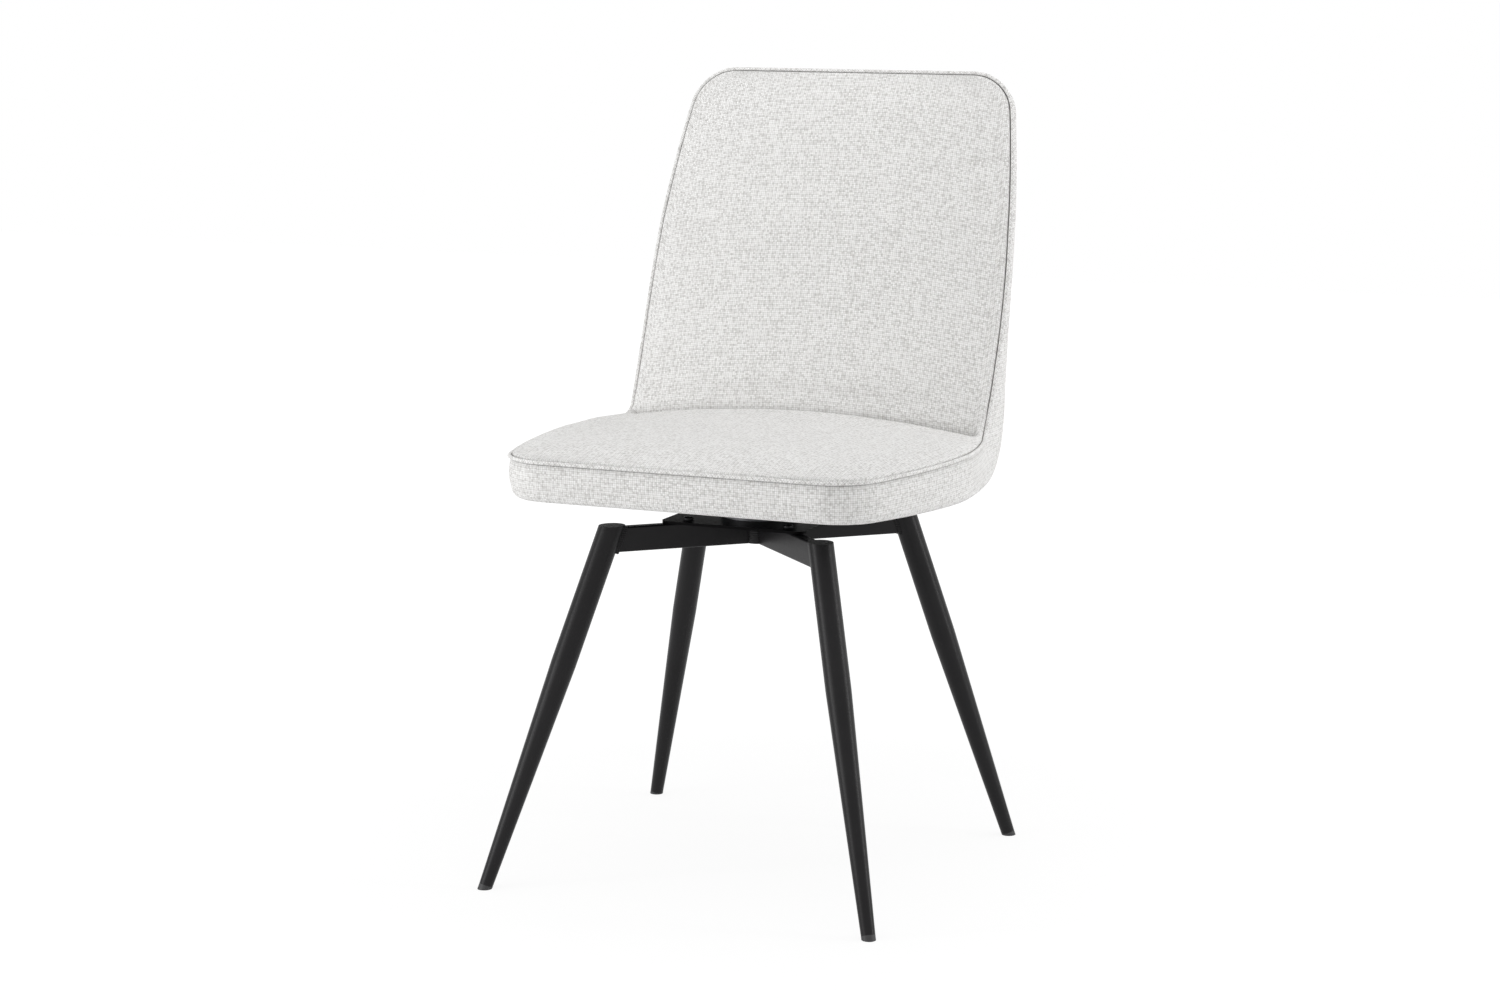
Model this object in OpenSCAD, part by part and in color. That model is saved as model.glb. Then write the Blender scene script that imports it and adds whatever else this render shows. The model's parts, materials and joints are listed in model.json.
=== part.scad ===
// Swivel dining chair: an upholstered seat and back on a ball-bearing swivel,
// carried by a steel cross with four splayed, tapered tube legs.
// Millimetres, +Z up, the sitter looks along -Y. The origin is on the floor,
// under the middle of the chair's overall width and depth.

/* [Legs] */
// Outside diameter of the leg tube in its straight upper part
leg_d = 28; // [24:0.5:34]
// Outside diameter of the leg tube at the foot
leg_foot_d = 15.5; // [14:0.5:22]
// Wall of the leg tube
leg_wall = 1.8; // [1.2:0.1:2.5]
// Share of the leg that is straight before the taper starts
leg_straight_share = 0.38; // [0.2:0.02:0.6]
// Height of the leg tops above the floor
leg_top_z = 398; // [340:1:440]
// Swivel axis to the leg tops, sideways
leg_top_x = 125; // [110:1:150]
// Swivel axis to the leg tops, forwards and backwards
leg_top_y = 120; // [105:1:145]
// Swivel axis to the feet, sideways
foot_x = 229; // [190:1:250]
// Swivel axis to the front feet, forwards
foot_front = 234; // [200:1:250]
// Swivel axis to the rear feet, backwards
foot_rear = 208; // [180:1:240]
// Thickness of the welded cap that closes a leg top
cap_t = 2; // [1.5:0.5:3]
// Thickness of a foot glide on the leg's own line
glide_t = 4.5; // [3.5:0.5:8]
// Length of the glide's stem inside the tube
glide_stem = 22; // [12:1:40]

/* [Cross frame] */
// Width of the rectangular cross tubes
arm_w = 13; // [10:0.5:22]
// Height of the rectangular cross tubes
arm_h = 28; // [22:1:36]
// Wall of the cross tubes
arm_wall = 1.5; // [1:0.1:2.5]
// Outer corner radius of the cross tubes
arm_corner_r = 2; // [1.6:0.1:3]

/* [Swivel] */
// Width of the swivel plates
plate_w = 174; // [160:1:190]
// Depth of the swivel plates
plate_l = 156; // [145:1:175]
// Thickness of the pressed swivel plates
plate_t = 3; // [2:0.5:4]
// Corner radius of the swivel plates
plate_r = 10; // [4:1:20]
// Diameter of the bearing balls
ball_d = 8; // [6:0.5:9]
// Radius of the circle that the ball centres run on
ball_ring_r = 34; // [30:1:40]
// How many balls the cage holds
ball_count = 20; // [12:1:24]
// Diameter of the pivot stud
pivot_d = 12; // [10:1:14]
// Running clearance between the stud and its bush, on the radius
pivot_clearance = 0.05; // [0.02:0.01:0.1]

/* [Seat] */
// Width over the seams at the widest part of the seat
seat_w = 492; // [440:2:540]
// Width of the seat at its front edge, before the corners are rounded
seat_front_w = 404; // [360:2:440]
// Width over the seams where the seat meets the back
waist_w = 441; // [400:1:460]
// Swivel axis to the front seam
seat_front = 224; // [200:1:240]
// Height of the seam round the seat
seam_z = 481; // [470:1:500]
// Height of the seat's underside on the swivel axis
under_z = 429.5; // [426:0.5:440]
// Backward tilt of the seat board, in degrees
seat_tilt = 2; // [0:0.25:3]
// Crown of the seat above its seam
seat_crown = 15; // [5:1:25]
// Radius of the seat's front corners, seen from above
front_corner_r = 40; // [25:1:60]
// Radius of the seat's lower edge
lower_edge_r = 12; // [6:1:16]
// Thickness of the plywood seat board
seat_board_t = 12; // [9:1:15]

/* [Back] */
// Swivel axis to the line where the back meets the seat, at seam height
back_y = 126; // [110:1:140]
// Backward lean of the back, in degrees
lean = 20.3; // [12:0.1:25]
// Length of the back above the seat's seam, along its own slope
back_l = 428; // [380:2:480]
// Width over the seams at the widest part of the back
back_w = 444; // [410:2:470]
// Width of the back at the top, before the corners are rounded
back_top_w = 386; // [340:2:410]
// Radius of the back's top corners
top_corner_r = 42; // [25:1:60]
// Thickness of the upholstered back in its upper part
back_t = 36; // [32:1:50]
// Thickness of the back where its rear face turns down to the seat
back_foot_t = 71; // [60:1:80]
// Crown of the back in front of its seam
back_crown = 12; // [4:1:20]
// Depth of the hollow that the seams of the back follow above the seat
back_hollow = 4.3; // [0:0.1:10]
// Thickness of the plywood back board
back_board_t = 9; // [8:1:12]

/* [Cover] */
// Thickness of the woven cover
cover_t = 1.6; // [1:0.1:2.5]
// Diameter of the piping in the seam
welt_d = 5.2; // [4:0.1:9]
// Width of cover that is turned under the seat board
turn_under = 30; // [24:1:40]
// Thickness of the dust cover under the seat
dust_t = 0.8; // [0.4:0.1:1.5]

/* [Hidden] */

overrun = 1;
fn_round = 64;
fn_small = 32;
black = [0.16, 0.16, 0.17];
zinc = [0.72, 0.73, 0.74];
ply = [0.80, 0.66, 0.47];
cloth = [0.86, 0.85, 0.83];

// Levels of the swivel, from the cross frame upwards
arm_top_z = leg_top_z - cap_t;
plate_top_z = arm_top_z + plate_t;
race_floor = ball_d / 4;
race_gap = ball_d / 5;
race_w = 2 * ball_d;
groove_play = 0.05;
ball_z = plate_top_z + race_floor + ball_d / 2;
cup_floor_z = ball_z + ball_d / 2 + race_floor;
cup_r = ball_ring_r + race_w / 2 + plate_t;
cup_opening_r = cup_r - plate_t;
cage_t = race_gap * 0.6;
cage_play = 0.15;
stud_flange_d = 2.4 * pivot_d;
bush_wall = 2;
bush_flange_t = 1.5;
bush_r = pivot_d / 2 + pivot_clearance + bush_wall;
bush_flange_r = bush_r + 3 * bush_wall;
washer_t = 1.6;
end_play = 0.3;
nut_h = pivot_d * 0.5;
nut_play = 0.05;
hex_share = 1.55;
washer_z = cup_floor_z + plate_t + bush_flange_t + end_play;
stud_top_z = washer_z + washer_t + nut_h + end_play;
// The lower plate is bolted to the cross arms, on their centre lines
plate_bolt_d = 6;
head_h_share = 0.55;
head_d_share = 1.9;
head_side_share = 0.6;
head_top_share = 0.72;
socket_d_share = 0.58;
hole_play = 0.25;
plate_bolt_reach = 84;
arm_angle = atan2(leg_top_y, leg_top_x);
// The upper plate is bolted to the seat board
seat_bolt_d = 6;
seat_bolt_edge = 16;
seat_bolt_x = plate_w / 2 - seat_bolt_edge;
seat_bolt_y = plate_l / 2 - seat_bolt_edge;
tee_flange_d = 18;
tee_flange_t = 1.2;
tee_barrel_d = 8;
// Boards and brackets
board_inset = 14;
board_rear_gap = 6;
board_rear = back_y - board_rear_gap;
board_corner_share = 0.6;
back_board_n = 14;
back_board_foot = 22;
back_board_head = 34;
back_board_inset = 26;
bracket_w = 40;
bracket_t = 4;
bracket_x = 130;
bracket_reach = 80;
bracket_height = 120;
screw_d = 5;
screw_pitch = 45;
screw_edge = 15;
screw_bite_share = 0.75;
foam_play = 0.3;
cloth_play = 0.8;
// Soft forms: stations run from the front edge round the bend to the top of the back
inner_bend_r = 24;
outer_bend_r = 82;
rear_start = 55;
top_edge_r = 15;
side_bulge = 2.5;
crown_run = 150;
crown_power = 3.2;
welt_groove = welt_d * 0.71;
welt_edge = welt_d * 0.56;
end_shares = [0, 0.04, 0.12, 0.30, 0.5, 0.74, 1];
seat_shares = [0.16, 0.33, 0.50, 0.66, 0.81, 0.93, 1];
bend_shares = [0.25, 0.5, 0.75, 1];
back_shares = [0.07, 0.16, 0.27, 0.40, 0.54, 0.68, 0.82, 1];
crown_shares = [-1, -0.965, -0.88, -0.74, -0.55, -0.3, 0, 0.3, 0.55, 0.74, 0.88, 0.965, 1];
side_shares = [0, 0.35, 0.7, 1];
corner_angles = [22.5, 45, 67.5, 90];
// Stations between which the cover is open under the seat board
open_first = 5;
open_last = 12;
belly_share = 0.28;
hollow_share = 0.57;
hollow_lead = 0.8;
corner_share = 0.7;

// Angles and lengths of a leg whose foot lies y in front of (-) or behind (+) the axis
function leg_run(y) = norm([foot_x - leg_top_x, abs(y) - leg_top_y]);
function leg_lean(y) = atan(leg_run(y) / leg_top_z);
function leg_turn(sx, y) = atan2(sign(y) * (leg_top_y - abs(y)), sx * (leg_top_x - foot_x));
function leg_length(y) = norm([leg_run(y), leg_top_z]);

// Puts children on the swivel axis, at floor height
module at_axis() translate([0, axis_y, 0]) children();

// Leg line: local +Z runs from the middle of the foot on the floor up to the leg top
module at_leg(sx, y)
    at_axis() translate([sx * foot_x, y, 0])
        rotate([0, 0, leg_turn(sx, y)]) rotate([0, leg_lean(y), 0]) children();

// A solid of the leg's outline, shrunk by a wall, from one height on its line to another
module leg_solid(y, wall, low, high) {
    len = leg_length(y);
    taper_l = len * (1 - leg_straight_share);
    translate([0, 0, low])
        cylinder(h = taper_l - low, r1 = leg_foot_d / 2 - wall, r2 = leg_d / 2 - wall, $fn = fn_round);
    translate([0, 0, taper_l])
        cylinder(h = high - taper_l, r = leg_d / 2 - wall, $fn = fn_round);
}

module slab(z_low, z_high) {
    reach = 2 * foot_x;
    translate([-reach, -reach, z_low]) cube([2 * reach, 2 * reach, z_high - z_low]);
}

module leg(sx, y) {
    len = leg_length(y);
    color(black)
    intersection() {
        at_leg(sx, y) difference() {
            leg_solid(y, 0, glide_t, len + leg_d);
            leg_solid(y, leg_wall, glide_t - overrun, len + leg_d + overrun);
        }
        slab(0, leg_top_z - cap_t);
    }
}

module front_left_leg() leg(-1, -foot_front);
module front_right_leg() leg(1, -foot_front);
module rear_left_leg() leg(-1, foot_rear);
module rear_right_leg() leg(1, foot_rear);

module leg_caps() {
    color(black)
    for (sx = [-1, 1], y = [-foot_front, foot_rear])
        intersection() {
            at_leg(sx, y) translate([0, 0, leg_length(y) - leg_d])
                cylinder(h = 2 * leg_d, r = leg_d / 2, $fn = fn_round);
            slab(leg_top_z - cap_t, leg_top_z);
        }
}

// Each glide is a wedge between the square tube end and the floor, with a stem in the tube
module foot_glides() {
    color(black)
    for (sx = [-1, 1], y = [-foot_front, foot_rear])
        intersection() {
            at_leg(sx, y) {
                translate([0, 0, -leg_foot_d])
                    cylinder(h = leg_foot_d + glide_t, r = leg_foot_d / 2, $fn = fn_round);
                translate([0, 0, glide_t])
                    cylinder(h = glide_stem, r = leg_foot_d / 2 - leg_wall, $fn = fn_round);
            }
            slab(0, leg_top_z);
        }
}

// A cross tube along the line from the axis to a leg top, from one reach to another
module arm_tube(from, to) {
    len = to - from;
    translate([from, 0, arm_top_z - arm_h / 2]) rotate([90, 0, 90]) difference() {
        linear_extrude(len) rounded_bar(arm_w, arm_h, arm_corner_r);
        translate([0, 0, -overrun]) linear_extrude(len + 2 * overrun)
            square([arm_w - 2 * arm_wall, arm_h - 2 * arm_wall], center = true);
    }
}

// Outline of a bar or plate with rounded corners, about its middle
module rounded_bar(width, length, r) {
    for (sx = [-1, 1])
        translate([sx * (width / 2 - r), 0]) square([2 * r, length - 2 * r], center = true);
    square([width - 2 * r, length], center = true);
    for (sx = [-1, 1], sy = [-1, 1])
        translate([sx * (width / 2 - r), sy * (length / 2 - r)]) circle(r = r, $fn = fn_small);
}

module arm_bolt_holes(reaches) {
    for (r = reaches)
        translate([r, 0, arm_top_z - arm_wall - overrun])
            cylinder(h = arm_wall + 2 * overrun, r = plate_bolt_d / 2 + hole_play, $fn = fn_small);
}

module leg_bodies() {
    for (sx = [-1, 1], y = [-foot_front, foot_rear])
        at_leg(sx, y) leg_solid(y, 0, glide_t, leg_length(y) + leg_d);
}

module long_cross_arm() {
    reach = norm([leg_top_x, leg_top_y]);
    color(black)
    difference() {
        at_axis() rotate([0, 0, arm_angle]) difference() {
            arm_tube(-reach, reach);
            arm_bolt_holes([-plate_bolt_reach, plate_bolt_reach]);
        }
        leg_bodies();
    }
}

module short_cross_arm(turn) {
    reach = norm([leg_top_x, leg_top_y]);
    // Square end of the short arm clears the side of the long one
    start = arm_w / 2 / sin(2 * arm_angle) + arm_w / 2 * abs(cos(2 * arm_angle));
    color(black)
    difference() {
        at_axis() rotate([0, 0, turn]) difference() {
            arm_tube(start, reach);
            arm_bolt_holes([plate_bolt_reach]);
        }
        leg_bodies();
    }
}

module front_cross_arm() short_cross_arm(-arm_angle);
module rear_cross_arm() short_cross_arm(180 - arm_angle);

module plate_outline() rounded_bar(plate_w, plate_l, plate_r);

module lower_plate() {
    color(black)
    at_axis() translate([0, 0, arm_top_z]) difference() {
        linear_extrude(plate_t) plate_outline();
        for (a = [arm_angle, -arm_angle, 180 - arm_angle, 180 + arm_angle])
            rotate([0, 0, a]) translate([plate_bolt_reach, 0, -overrun])
                cylinder(h = plate_t + 2 * overrun, r = plate_bolt_d / 2 + hole_play, $fn = fn_small);
    }
}

// A pan-head bolt, head on top, its seat at z = 0 and its shank downwards
module bolt(d, shank) {
    head_r = d * head_d_share / 2;
    head_h = d * head_h_share;
    side_h = head_h * head_side_share;
    difference() {
        union() {
            cylinder(h = side_h, r = head_r, $fn = fn_small);
            translate([0, 0, side_h])
                cylinder(h = head_h - side_h, r1 = head_r, r2 = head_r * head_top_share, $fn = fn_small);
        }
        translate([0, 0, head_h - side_h])
            cylinder(h = head_h, r = d * socket_d_share / 2, $fn = 6);
    }
    translate([0, 0, -shank]) cylinder(h = shank, r = d / 2, $fn = fn_small);
}

module plate_bolts() {
    color(zinc)
    at_axis() for (a = [arm_angle, -arm_angle, 180 - arm_angle, 180 + arm_angle])
        rotate([0, 0, a]) translate([plate_bolt_reach, 0, plate_top_z])
            bolt(plate_bolt_d, plate_t + arm_h / 2);
}

// One ring of the thrust bearing: floor at z = 0, groove for the balls on top
module race() {
    height = race_floor + ball_d / 2 - race_gap / 2;
    rotate_extrude($fn = fn_round) difference() {
        translate([ball_ring_r - race_w / 2, 0]) square([race_w, height]);
        translate([ball_ring_r, race_floor + ball_d / 2])
            circle(r = ball_d / 2 + groove_play, $fn = fn_small);
    }
}

module lower_race() {
    color(zinc)
    at_axis() translate([0, 0, plate_top_z]) race();
}

module upper_race() {
    color(zinc)
    at_axis() translate([0, 0, cup_floor_z]) mirror([0, 0, 1]) race();
}

module bearing_balls() {
    color(zinc)
    at_axis() for (i = [0 : ball_count - 1])
        rotate([0, 0, 360 * i / ball_count]) translate([ball_ring_r, 0, ball_z])
            sphere(r = ball_d / 2, $fn = fn_small);
}

module ball_cage() {
    color(zinc)
    at_axis() difference() {
        translate([0, 0, ball_z - cage_t / 2]) difference() {
            cylinder(h = cage_t, r = ball_ring_r + race_w / 2, $fn = fn_round);
            translate([0, 0, -overrun])
                cylinder(h = cage_t + 2 * overrun, r = ball_ring_r - race_w / 2, $fn = fn_round);
        }
        for (i = [0 : ball_count - 1])
            rotate([0, 0, 360 * i / ball_count])
                translate([ball_ring_r, 0, ball_z - ball_d / 2])
                    cylinder(h = ball_d, r = ball_d / 2 + cage_play, $fn = fn_small);
    }
}

module pivot_stud() {
    color(zinc)
    at_axis() {
        translate([0, 0, plate_top_z]) cylinder(h = plate_t, r = stud_flange_d / 2, $fn = fn_round);
        translate([0, 0, plate_top_z + plate_t])
            cylinder(h = stud_top_z - plate_top_z - plate_t, r = pivot_d / 2, $fn = fn_round);
    }
}

module pivot_washer() {
    color(zinc)
    at_axis() translate([0, 0, washer_z]) difference() {
        cylinder(h = washer_t, r = bush_flange_r, $fn = fn_round);
        translate([0, 0, -overrun])
            cylinder(h = washer_t + 2 * overrun, r = pivot_d / 2 + nut_play, $fn = fn_round);
    }
}

module pivot_nut() {
    color(zinc)
    at_axis() translate([0, 0, washer_z + washer_t]) difference() {
        cylinder(h = nut_h, r = pivot_d / 2 * hex_share, $fn = 6);
        translate([0, 0, -overrun])
            cylinder(h = nut_h + 2 * overrun, r = pivot_d / 2 + nut_play, $fn = fn_round);
    }
}

// Frame of the seat board: its underside on the axis, tilted with the seat
module at_board() at_axis() translate([0, 0, under_z]) rotate([-seat_tilt, 0, 0]) children();

module at_flange() at_board() translate([0, 0, -dust_t - plate_t]) children();

// The upper plate is a pressed dish: a flange under the board and a cup down to the bearing
module upper_plate() {
    rise = under_z - cup_floor_z;
    color(black)
    difference() {
        union() {
            at_flange() linear_extrude(plate_t) plate_outline();
            at_axis() translate([0, 0, cup_floor_z]) intersection() {
                cylinder(h = rise + plate_t, r = cup_r, $fn = fn_round);
                translate([0, 0, rise]) rotate([-seat_tilt, 0, 0])
                    translate([-cup_r - overrun, -cup_r - overrun, -2 * rise])
                        cube([2 * (cup_r + overrun), 2 * (cup_r + overrun), 2 * rise - plate_t / 2]);
            }
        }
        at_axis() translate([0, 0, cup_floor_z + plate_t])
            cylinder(h = rise + plate_t, r = cup_opening_r, $fn = fn_round);
        at_axis() translate([0, 0, cup_floor_z - overrun])
            cylinder(h = plate_t + 2 * overrun, r = bush_r, $fn = fn_round);
        at_tee_nuts() translate([0, 0, -dust_t - plate_t - overrun])
            cylinder(h = plate_t + 2 * overrun, r = seat_bolt_d / 2 + hole_play, $fn = fn_small);
    }
}

module pivot_bush() {
    color("ivory")
    at_axis() translate([0, 0, cup_floor_z]) difference() {
        union() {
            cylinder(h = plate_t, r = bush_r, $fn = fn_round);
            translate([0, 0, plate_t]) cylinder(h = bush_flange_t, r = bush_flange_r, $fn = fn_round);
        }
        translate([0, 0, -overrun])
            cylinder(h = plate_t + bush_flange_t + 2 * overrun, r = pivot_d / 2 + pivot_clearance,
                $fn = fn_round);
    }
}

module seat_bolts() {
    color(zinc)
    at_tee_nuts() translate([0, 0, -dust_t - plate_t]) mirror([0, 0, 1])
        bolt(seat_bolt_d, plate_t + dust_t + seat_board_t);
}

// The four bolting points of the upper plate, on the underside of the seat board
module at_tee_nuts() at_board() for (sx = [-1, 1], sy = [-1, 1])
    translate([sx * seat_bolt_x, sy * seat_bolt_y, 0]) children();

module seat_tee_nuts() {
    color(zinc)
    at_tee_nuts() difference() {
        union() {
            translate([0, 0, seat_board_t / 3])
                cylinder(h = seat_board_t * 2 / 3, r = tee_barrel_d / 2, $fn = fn_small);
            translate([0, 0, seat_board_t]) cylinder(h = tee_flange_t, r = tee_flange_d / 2, $fn = fn_small);
        }
        translate([0, 0, -overrun])
            cylinder(h = seat_board_t + tee_flange_t + 2 * overrun, r = seat_bolt_d / 2, $fn = fn_small);
    }
}

// Half-width over the seams of the seat, y from the axis, with the front corners rounded
function seat_side(y) = y < 0
    ? seat_w / 2 - (seat_w - seat_front_w) / 2 * pow(-y / seat_front, 1.8)
    : seat_w / 2 - (seat_w - waist_w) / 2 * pow(min(y / back_y, 1), 1.7);
function corner_loss(d, r) = d >= r ? 0 : r - sqrt(r * r - (r - d) * (r - d));
function seat_half(y) = seat_side(y) - corner_loss(y + seat_front, front_corner_r);

// Half-width over the seams of the back, t along its slope, with the top corners rounded
function back_side(t) = t < back_l * belly_share
    ? waist_w / 2 + (back_w - waist_w) / 2 * sin(90 * max(t, 0) / (back_l * belly_share))
    : back_w / 2 - (back_w - back_top_w) / 2 * pow((t / back_l - belly_share) / (1 - belly_share), 2);
function back_half(t) = back_side(t) - corner_loss(back_l - t, top_corner_r);

// Thickness of the back, square to its slope; its rear face starts upright and then leans
thick_run = 2 * (back_foot_t - back_t) / tan(lean);
function back_depth(t) = back_t + (back_foot_t - back_t) * pow(max(0, 1 - (t - rear_start) / thick_run), 2);
// Points of the back in its own frame: t up the slope, n backwards; [y, z] from the axis
function bp(t, n) = [back_y + t * sin(lean) + n * cos(lean), seam_z + t * cos(lean) - n * sin(lean)];
function under(y) = under_z - cover_t - y * tan(seat_tilt);
bend_turn = 90 - lean;
back_start = inner_bend_r * tan(bend_turn / 2);
bend_start = back_y - back_start;
// Where the outer bend ends on the rear of the back, and where it starts under the seat
bend_end = bp(rear_start, back_foot_t);
outer_start = bend_end[0] - outer_bend_r;
function rear_t(t) = rear_start + (t - back_start) * (back_l - rear_start) / (back_l - back_start);

// How far a crown has risen at a distance from the edge, as a share of its full height
function crown_rise(edge) =
    let (run = max(0, edge - welt_groove)) pow(1 - pow(max(0, 1 - run / crown_run), 3), 0.8);

// The foam is chamfered under the piping: half-width and drop of its front at a distance
// from the front or top edge
function groove_half(side, edge, r) =
    side - welt_groove - corner_loss(max(edge - welt_groove, 0), r - welt_groove);
function groove_drop(edge) = max(0, welt_groove - edge);

// A station is [front point, rear point, half-width, rear corner radius, crown, crown direction,
// groove half-width, groove drop]
function seat_station(y, share, edge) =
    let (drop = corner_loss(edge, lower_edge_r),
         yr = y < 0 ? y : y + (outer_start - bend_start) * pow(share, 2))
    [[y, seam_z], [yr, under(yr) + drop], seat_half(y), lower_edge_r,
     seat_crown * crown_rise(edge), [0, 1],
     groove_half(seat_side(y), edge, front_corner_r), groove_drop(edge)];
function bend_station(b) =
    let (a = bend_turn * b, ao = 90 * b,
         w = waist_w / 2 + (seat_half(bend_start) - waist_w / 2) * pow(1 - b, 2))
    [[bend_start + inner_bend_r * sin(a), seam_z + inner_bend_r * (1 - cos(a))],
     [outer_start + outer_bend_r * sin(ao),
      under(outer_start) + (bend_end[1] - under(outer_start)) * (1 - cos(ao))],
     w, lower_edge_r + (back_t / 2 - lower_edge_r) * b,
     seat_crown + (back_crown - seat_crown) * b, [-sin(a), cos(a)], w - welt_groove, 0];
function hollow(t) = let (s = (t - back_start) / (hollow_share * back_l - back_start))
    back_hollow * sin(180 * pow(min(max(s, 0), 1), hollow_lead));
function back_station(t) =
    let (edge = back_l - t, drop = corner_loss(edge, top_edge_r))
    [bp(t, hollow(t)), bp(rear_t(t), back_depth(rear_t(t)) - drop), back_half(t), back_t / 2,
     back_crown * crown_rise(edge), [-cos(lean), sin(lean)],
     groove_half(back_side(t), edge, top_corner_r), groove_drop(edge)];

front_run = front_corner_r;
top_run = top_corner_r;
seat_stations = concat(
    [for (e = end_shares) seat_station(-seat_front + e * front_run, 0, e * front_run)],
    [for (s = seat_shares)
        let (y = -seat_front + front_run + s * (bend_start + seat_front - front_run))
        seat_station(y, max(0, y / bend_start), y + seat_front)]);
bend_stations = [for (b = bend_shares) bend_station(b)];
back_stations = concat(
    [for (s = back_shares) back_station(back_start + s * (back_l - top_run - back_start))],
    [for (i = [len(end_shares) - 2 : -1 : 0]) back_station(back_l - end_shares[i] * top_run)]);
all_stations = concat(seat_stations, bend_stations, back_stations);
// The seat and back cushions part on the middle of the bend
split = len(seat_stations) + 1;

// The deepest points of the chair are the front glides and the rear of the back,
// so the swivel axis is placed to bring the middle between them to the origin
front_reach = foot_front + leg_foot_d / 2 / cos(leg_lean(-foot_front));
rear_reach = max([for (s = all_stations) s[1][0]]);
axis_y = (front_reach - rear_reach) / 2;

// Half-width of the rear or underside between the strips of cover that are turned under
function rear_half(st) = st[2] - st[3] - turn_under;

// Closed section of a station, with its sides and rear shrunk by an inset. The cover's edge
// comes closer to the piping than the foam does
function section(st, inset) =
    let (f = st[0], r = st[1], depth = norm(r - f), back_dir = (r - f) / depth,
         w = st[2] - inset, d = depth - inset, start = inset > 0 ? welt_groove : welt_edge,
         corner = min(st[3], d * corner_share) - inset / 2,
         front = [for (u = crown_shares)
             let (p = f + back_dir * st[7] + st[4] * (1 - pow(abs(u), crown_power)) * st[5])
             [u * st[6], p[0], p[1]]],
         side = [for (v = side_shares)
             let (p = f + back_dir * (start + v * (d - corner - start)))
             [w + side_bulge * sin(180 * v), p[0], p[1]]],
         round_part = [for (a = corner_angles)
             let (p = f + back_dir * (d - corner + corner * sin(a)))
             [w - corner + corner * cos(a), p[0], p[1]]],
         rear = [for (u = [1, 0, -1])
             let (p = f + back_dir * d)
             [u * rear_half(st), p[0], p[1]]])
    concat(front, side, round_part, rear,
        [for (i = [len(round_part) - 1 : -1 : 0]) [-round_part[i][0], round_part[i][1], round_part[i][2]]],
        [for (i = [len(side) - 1 : -1 : 0]) [-side[i][0], side[i][1], side[i][2]]]);

// Skin over a list of equal closed sections, with flat ends
module loft(sections) {
    n = len(sections[0]);
    m = len(sections);
    pts = [for (s = sections) for (p = s) p];
    faces = concat(
        [for (i = [0 : m - 2], j = [0 : n - 1]) let (k = (j + 1) % n)
            [i * n + j, (i + 1) * n + k, i * n + k]],
        [for (i = [0 : m - 2], j = [0 : n - 1]) let (k = (j + 1) % n)
            [i * n + j, (i + 1) * n + j, (i + 1) * n + k]],
        [for (j = [1 : n - 2]) [0, j, j + 1]],
        [for (j = [1 : n - 2]) [(m - 1) * n, (m - 1) * n + j + 1, (m - 1) * n + j]]);
    polyhedron(points = pts, faces = faces);
}

// Foam between two stations, inside the cover
module form(first, last)
    at_axis() loft([for (i = [first : last]) section(all_stations[i], cover_t)]);

// Room in the foam for the heads and flanges that stand on the boards and brackets
module fastener_reliefs() {
    head_r = screw_d * head_d_share / 2 + foam_play;
    head_h = screw_d * head_h_share + foam_play;
    at_tee_nuts() translate([0, 0, seat_board_t - overrun])
        cylinder(h = tee_flange_t + foam_play + overrun, r = tee_flange_d / 2 + foam_play, $fn = fn_small);
    at_seat_screws() translate([0, 0, -overrun]) cylinder(h = head_h + overrun, r = head_r, $fn = fn_small);
    at_back_screws() translate([0, 0, -overrun]) cylinder(h = head_h + overrun, r = head_r, $fn = fn_small);
}

module seat_cushion() {
    color(cloth)
    difference() {
        form(1, split);
        board_pocket();
        brackets_blank(overrun);
        fastener_reliefs();
    }
}

module back_cushion() {
    color(cloth)
    difference() {
        form(split, len(all_stations) - 2);
        back_board_blank();
        board_pocket();
        brackets_blank(overrun);
        fastener_reliefs();
    }
}

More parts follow.
